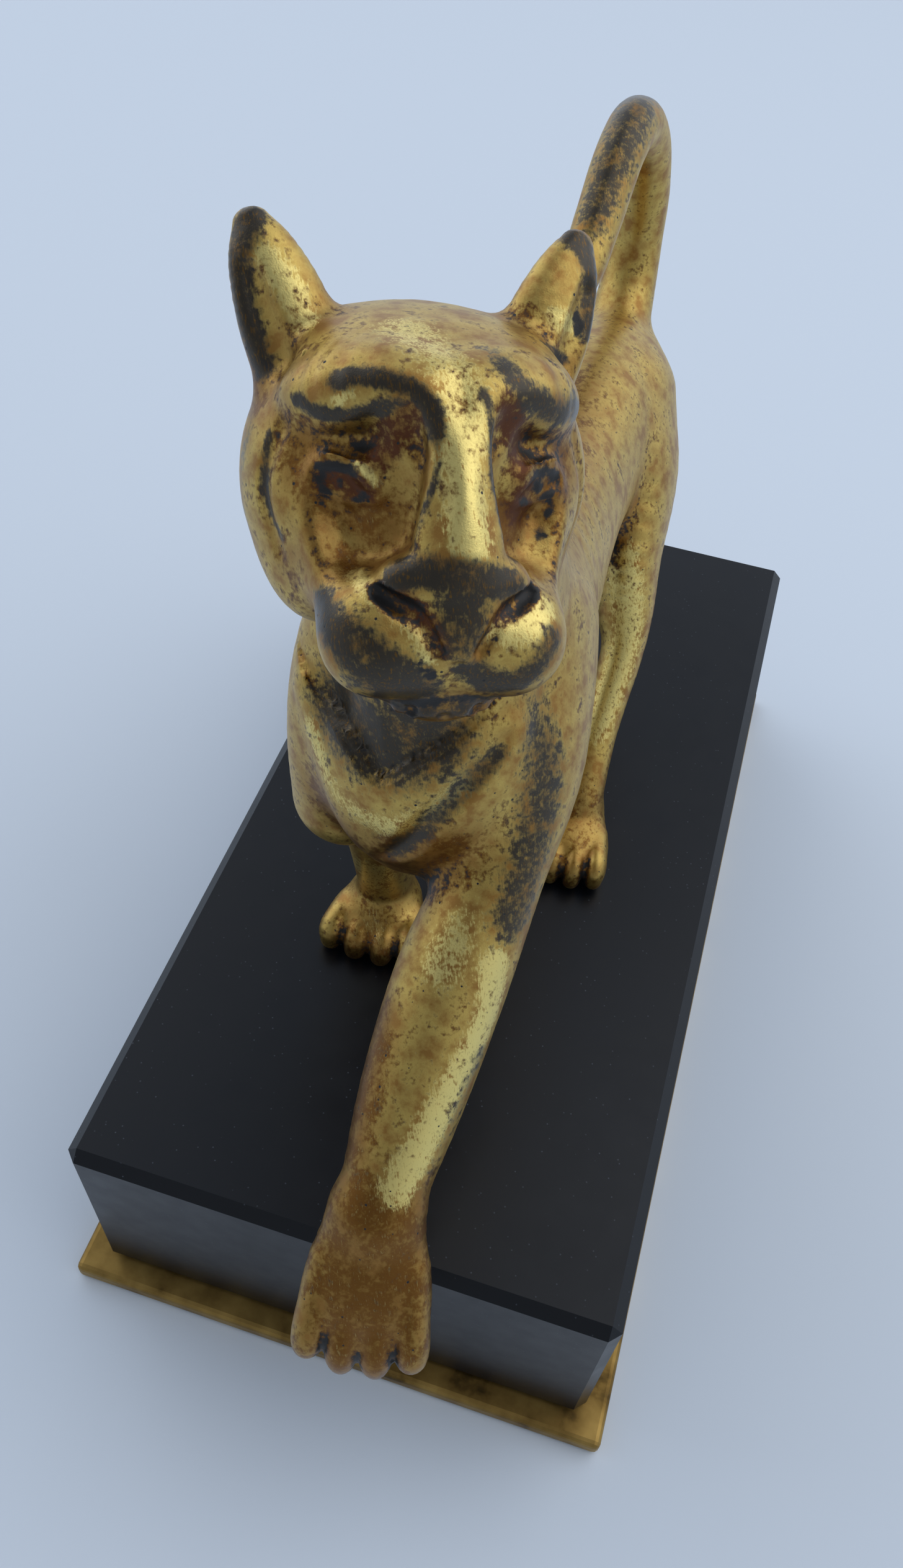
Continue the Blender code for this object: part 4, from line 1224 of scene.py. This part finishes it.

# Worn places and painted highlights, shade and sheen on the body, in the body's frame, in the same kind of
# rows
BODY_WEAR = {
    Wear.DARK: (
        # Dark bronze on the top of the tail; below the collar's step it is painted shadow of the head,
        # in the groove beside it painted shade, along the shoulder a painted grey sheen, and down the
        # stretched foreleg's outer side painted shade
        (((-8, 27.5, 55), (-3.5, 24, 55), (0.5, 25.5, 56.5)), 4.5, 0.85),
        (((-1, 23, 42.5), (2, 23.5, 48), (5, 25.5, 52.5), (6.5, 28, 54)), 1.3, 0.75),
        (((11, 33, 64), (11, 31, 55), (11.5, 29, 49), (12, 26, 44), (11.5, 22, 39)), 3.2, 0.75),
        (((-1.5, 113, 75.5), (-1.5, 107, 77.5), (-1.5, 99, 76), (-2, 91, 72.5)), 3.0, 0.75),
        (((11, 12, 29), (9, 4, 23), (8, -1, 19)), 1.4, 0.5),
    ),
    Wear.AGED_AND_SHADE: (
        # The gilding dulled along the neck and the back
        (((1, 40, 70), (0, 46, 63), (-0.5, 60, 58), (-0.5, 76, 58), (-1, 88, 60)), 7.0, 0.75),
        # Browned gilding on the paws, the chest and the stretched foreleg, partly painted shade on the
        # stretched paw, which faces down and forward, and on the chest under the head
        (((6, -2, 18), (7, -8, 11), (7.5, -12, 5)), 7.0, 0.9),
        (((-9, 40, 3), (-8.5, 35, 2)), 4.5, 0.7),
        (((-8, 28, 42), (-3, 23, 38), (2, 24, 44)), 5.0, 0.8),
        (((2, 12, 30), (2, 2, 23)), 3.0, 0.8),
        (((12, 66, 8), (12, 56, 4)), 4.0, 0.5),
    ),
    Wear.BRIGHT: (
        # Polished along the stretched foreleg, the chest's ridge and the hind leg, with a painted highlight
        # band down the stretched foreleg and a painted highlight at its top
        (((10.5, 17.5, 36), (11, 14.5, 32), (10, 9, 29), (8.5, 3, 25.5), (7.5, -0.5, 23)), 1.8),
        (((7, 21, 38), (6, 16, 36)), 2.0, 0.8),
        (((-11, 27.5, 51), (-6.5, 24.5, 47), (-1, 22.5, 47), (4, 25, 52)), 1.4, 0.7),
        (((9, 83.5, 33), (12, 80, 27), (12.5, 77, 22), (11.5, 70, 15.5)), 2.4, 0.8),
        (((-8, 35, 8), (-9, 38, 14)), 3.0, 0.8),
    ),
}


@dataclass
class CastingGrain:
    """The faint uneven skin of a lost-wax casting, as a Geometry Nodes tree."""

    grain_depth: float = 0.05 * MM
    grain_size: float = 0.8 * MM
    ripple_depth: float = 0.10 * MM
    ripple_size: float = 4.0 * MM
    seed: float = 7.0

    def tree(self) -> Tree:
        """Builds the tree, which sinks each point a little along its normal.

        Returns:
            The tree with named inputs.
        """
        tree = bpy.data.node_groups.new("casting_grain", "GeometryNodeTree")
        for name, way, kind in (("Geometry", "OUTPUT", "Geometry"), ("Geometry", "INPUT", "Geometry"),
                                ("Grain depth", "INPUT", "Float"), ("Grain size", "INPUT", "Float"),
                                ("Ripple depth", "INPUT", "Float"), ("Ripple size", "INPUT", "Float"),
                                ("Seed", "INPUT", "Float"), ("Finish", "INPUT", "Material")):
            tree.interface.new_socket(name, in_out=way, socket_type="NodeSocket" + kind)
        entry = tree.nodes.new("NodeGroupInput").outputs
        sink = None
        for depth, size in (("Grain depth", "Grain size"), ("Ripple depth", "Ripple size")):
            scale = add_node(tree, "ShaderNodeMath", {"operation": "DIVIDE", 0: 1.0},
                             {1: entry[size]}).outputs[0]
            noise = add_node(tree, "ShaderNodeTexNoise", {"noise_dimensions": "4D", "Detail": 3.0},
                             {"W": entry["Seed"], "Scale": scale}).outputs["Fac"]
            part = add_node(tree, "ShaderNodeMath", {"operation": "MULTIPLY"},
                            {0: noise, 1: entry[depth]}).outputs[0]
            sink = part if sink is None else add_node(tree, "ShaderNodeMath", {"operation": "ADD"},
                                                      {0: sink, 1: part}).outputs[0]
        inwards = add_node(tree, "ShaderNodeMath", {"operation": "MULTIPLY", 1: -1.0}, {0: sink}).outputs[0]
        normal = add_node(tree, "GeometryNodeInputNormal").outputs["Normal"]
        offset = add_node(tree, "ShaderNodeVectorMath", {"operation": "SCALE"},
                          {0: normal, "Scale": inwards}).outputs[0]
        moved = add_node(tree, "GeometryNodeSetPosition", {},
                         {"Geometry": entry["Geometry"], "Offset": offset}).outputs["Geometry"]
        plain = add_node(tree, "GeometryNodeRealizeInstances", {}, {"Geometry": moved}).outputs["Geometry"]
        dressed = add_node(tree, "GeometryNodeSetMaterial", {},
                           {"Geometry": plain, "Material": entry["Finish"]}).outputs["Geometry"]
        tree.links.new(dressed, tree.nodes.new("NodeGroupOutput").inputs["Geometry"])
        return tree

    def applied(self, piece: bpy.types.Object, finish: Material) -> bpy.types.Mesh:
        """Runs the tree on a piece.

        Args:
            piece: The object to roughen.
            finish: Its material.

        Returns:
            The plain mesh that comes out.
        """
        tree = self.tree()
        modifier = piece.modifiers.new("casting grain", "NODES")
        modifier.node_group = tree
        values = {"Grain depth": self.grain_depth, "Grain size": self.grain_size,
                  "Ripple depth": self.ripple_depth, "Ripple size": self.ripple_size,
                  "Seed": self.seed, "Finish": finish}
        for item in tree.interface.items_tree:
            if item.in_out == "INPUT" and item.name in values:
                modifier[item.identifier] = values[item.name]
        evaluated = piece.evaluated_get(bpy.context.evaluated_depsgraph_get())
        mesh = bpy.data.meshes.new_from_object(evaluated)
        piece.modifiers.clear()
        return mesh


@dataclass
class Panther:
    """The cast animal: its clay, its fine skin, its wear and its finish."""

    name: str = "panther_cast"
    node: str = "panther"
    triangles: int = 190_000
    neck_blend: float = 2.5
    recess_depths: tuple[float, ...] = (0.45, 1.2, 3.0)
    recess_gain: float = 1.8

    def __post_init__(self) -> None:
        """Models the clay."""
        self.head = PantherHead().posed()
        self.clay = PantherBody().modelled()
        self.clay.add(self.head, self.neck_blend)

    def distance(self, points: np.ndarray, reach: float = REACH) -> np.ndarray:
        """Measures the distance from the clay, cut off flat at the soles.

        Args:
            points: Where to measure.
            reach: How far from the clay it matters.

        Returns:
            The distances, below zero inside.
        """
        order = np.lexsort(np.floor(points / CELL).T)
        turns = [order[start:start + BATCH] for start in range(0, len(order), BATCH)]
        result = np.zeros(len(points))
        with ThreadPoolExecutor(WORKERS) as pool:
            parts = pool.map(self.clay.distance, (points[turn] for turn in turns), itertools.repeat(reach))
            for turn, part in zip(turns, parts):
                result[turn] = part
        return np.maximum(result, -points[:, 2])

    def thinned(self, points: np.ndarray, quads: np.ndarray) -> tuple[np.ndarray, np.ndarray]:
        """Thins the skin to triangles where it is flat.

        Args:
            points: The skin's points.
            quads: Its quads.

        Returns:
            The thinned points and triangles.
        """
        mesh = bpy.data.meshes.new("clay")
        mesh.from_pydata(points.tolist(), [], quads.tolist())
        draft = put("clay", mesh)
        thinning = draft.modifiers.new("thinning", "DECIMATE")
        thinning.ratio = min(1.0, self.triangles / (2 * len(quads)))
        result = bpy.data.meshes.new_from_object(draft.evaluated_get(bpy.context.evaluated_depsgraph_get()))
        result.calc_loop_triangles()
        spots = np.zeros(len(result.vertices) * 3)
        result.vertices.foreach_get("co", spots)
        corners = np.zeros(len(result.loop_triangles) * 3, int)
        result.loop_triangles.foreach_get("vertices", corners)
        bpy.data.objects.remove(draft)
        return spots.reshape(-1, 3), corners.reshape(-1, 3)

    def wear(self, points: np.ndarray) -> dict[str, np.ndarray]:
        """Works out how worn and how deep in a recess each point of the skin is, and where light and
        shade are painted on it; the recess depth sets painted shade in the hollows.

        Args:
            points: The skin's points.

        Returns:
            The named shares.
        """
        normal = Skin.slope(self.distance, points)
        normal /= np.maximum(np.linalg.norm(normal, axis=1), TINY)[:, None]
        # How deep in a hollow each point lies, an occlusion measure that the finish paints as shade and grime
        recess = np.zeros(len(points))
        for depth in self.recess_depths:
            outside = self.distance(points + normal * depth)
            recess += np.clip(1.0 - outside / depth, 0.0, 1.0) / len(self.recess_depths)
        shares = {kind.value: np.zeros(len(points)) for kind in Wear}
        shares["recess"] = np.clip(recess * self.recess_gain, 0.0, 1.0)
        for table, spots in ((HEAD_WEAR, self.head.local(points)), (BODY_WEAR, points)):
            for kind, rows in table.items():
                for row in rows:
                    shares[kind.value] = np.maximum(shares[kind.value], WearMark(*row).amount(spots))
        return shares

    def placed(self, points: np.ndarray) -> np.ndarray:
        """Puts the clay where the solid stands.

        Args:
            points: Points of the clay.

        Returns:
            The points in metres, kept inside the solid's box.
        """
        low, high = (np.array(corner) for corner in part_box(self.node))
        lowest, highest = points.min(axis=0), points.max(axis=0)
        scale = (high[2] - low[2]) / (highest[2] - lowest[2])
        points = points * scale
        points[:, 1] += (low[1] + high[1]) / 2 - scale * (lowest[1] + highest[1]) / 2
        points[:, 2] += low[2] - scale * lowest[2]
        return np.clip(points, low, high)

    def build(self) -> None:
        """Makes the finished piece, which stands for the solid."""
        skin = Skin()
        low, high = self.clay.box()
        low[2] = 0.0
        points, quads = skin.quads(self.distance, low, high)
        points = skin.settle(self.distance, points)
        LOG.info("clay skin: %d quads", len(quads))
        points, faces = self.thinned(points, quads)
        points = skin.settle(self.distance, points, 1)
        shares = self.wear(points)
        mesh = bpy.data.meshes.new(self.name)
        mesh.from_pydata(self.placed(points).tolist(), [], faces.tolist())
        for name, values in shares.items():
            layer = mesh.attributes.new(name, "FLOAT", "POINT")
            layer.data.foreach_set("value", values.astype(np.float32))
        mesh.shade_smooth()
        draft = put("draft", mesh)
        finished = CastingGrain().applied(draft, WornGilding().material())
        bpy.data.objects.remove(draft)
        piece = put(self.name, finished)
        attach(piece, "root")
        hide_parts(self.node)
        LOG.info("%s: %d triangles", self.name, len(finished.polygons))


@dataclass
class Plinth:
    """The stone block and the brass plate under it, which keep their solids."""

    block: str = "plinth_block"
    plate: str = "brass_plate"

    def dress(self) -> None:
        """Gives both solids their finishes."""
        for node, finish in ((self.block, PolishedBlackStone()), (self.plate, SatinBrass())):
            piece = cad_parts[node]
            piece.material_slots[0].material = finish.material()
            LOG.info("%s: %s", node, type(finish).__name__)


@dataclass
class Studio:
    """A pale floor, soft lights and the camera where the photograph was taken from."""

    floor_half: float = 3.0
    camera_place: Triple = (0.01963, -0.10892, 0.17189)
    camera_right: Triple = (0.95441, 0.29386, 0.05189)
    camera_down: Triple = (0.25881, -0.72840, -0.63428)
    camera_ahead: Triple = (-0.14856, 0.61887, -0.77125)
    lens: float = 28.588
    sensor: float = 36.0
    clip_start: float = 0.005
    # Each light's name, place in metres, width in metres, strength in watts and colour
    lights: tuple[tuple[str, Triple, float, float, str], ...] = (
        ("window", (0.5, 0.2, 0.8), 1.2, 3.4, "#FFFFFF"), ("wall", (-0.8, 0.3, 0.7), 1.2, 2.8, "#EEF3FA"))
    lit_place: Triple = (0.0, 0.0, 0.08)
    low_sky: str = "#DCE3EC"
    high_sky: str = "#8E97A5"
    glow: tuple[float, float] = (0.62, 1.55)

    def camera(self) -> None:
        """Sets up the camera."""
        data = bpy.data.cameras.new("camera")
        data.lens = self.lens
        data.sensor_width = self.sensor
        data.clip_start = self.clip_start
        camera = put("camera", data)
        turn = Matrix((Vector(self.camera_right), -Vector(self.camera_down),
                       -Vector(self.camera_ahead))).transposed()
        camera.matrix_world = Matrix.Translation(self.camera_place) @ turn.to_4x4()
        bpy.context.scene.camera = camera

    def floor(self) -> None:
        """Lays the floor under the part."""
        half = self.floor_half
        mesh = bpy.data.meshes.new("floor")
        mesh.from_pydata([(-half, -half, 0), (half, -half, 0), (half, half, 0), (-half, half, 0)], [],
                         [(0, 1, 2, 3)])
        mesh.materials.append(MattePaper().material())
        put("floor", mesh)

    def light(self, name: str, place: Triple, size: float, power: float, tone: str) -> None:
        """Hangs a soft light that faces the statuette.

        Args:
            name: The light's name.
            place: Where it hangs, in metres.
            size: Its width in metres.
            power: Its strength in watts.
            tone: Its colour.
        """
        data = bpy.data.lights.new(name, "AREA")
        data.shape = "DISK"
        data.size = size
        data.energy = power
        data.color = linear(tone)[:3]
        lamp = put(name, data)
        lamp.location = place
        lamp.rotation_euler = (Vector(place) - Vector(self.lit_place)).to_track_quat("Z", "Y").to_euler()

    def sky(self) -> None:
        """Fills the room with a soft glow, dimmer overhead and dimmer on the camera's side."""
        world = bpy.data.worlds.new("room")
        bpy.context.scene.world = world
        world.use_nodes = True
        tree = world.node_tree
        way = add_node(tree, "ShaderNodeSeparateXYZ", {},
                       {0: add_node(tree, "ShaderNodeTexCoord").outputs["Generated"]}).outputs
        height = add_node(tree, "ShaderNodeMapRange", {"From Min": -0.1, "From Max": 0.8},
                          {"Value": way["Z"]}).outputs["Result"]
        colour = add_node(tree, "ShaderNodeMix",
                          {"data_type": "RGBA", 6: linear(self.low_sky), 7: linear(self.high_sky)},
                          {0: height}).outputs[2]
        glow = add_node(tree, "ShaderNodeMapRange",
                        {"From Min": -0.9, "From Max": 0.7, "To Min": self.glow[0], "To Max": self.glow[1]},
                        {"Value": way["Y"]}).outputs["Result"]
        tree.links.new(colour, tree.nodes["Background"].inputs["Color"])
        tree.links.new(glow, tree.nodes["Background"].inputs["Strength"])

    def build(self) -> None:
        """Sets the whole stage."""
        self.camera()
        self.floor()
        self.sky()
        for light in self.lights:
            self.light(*light)
        bpy.context.scene.view_settings.view_transform = "Standard"


def main() -> None:
    """Builds the pieces in order."""
    logging.basicConfig(level=logging.INFO)
    Studio().build()
    LOG.info("studio set")
    Plinth().dress()
    Panther().build()


if __name__ == "__main__":
    main()
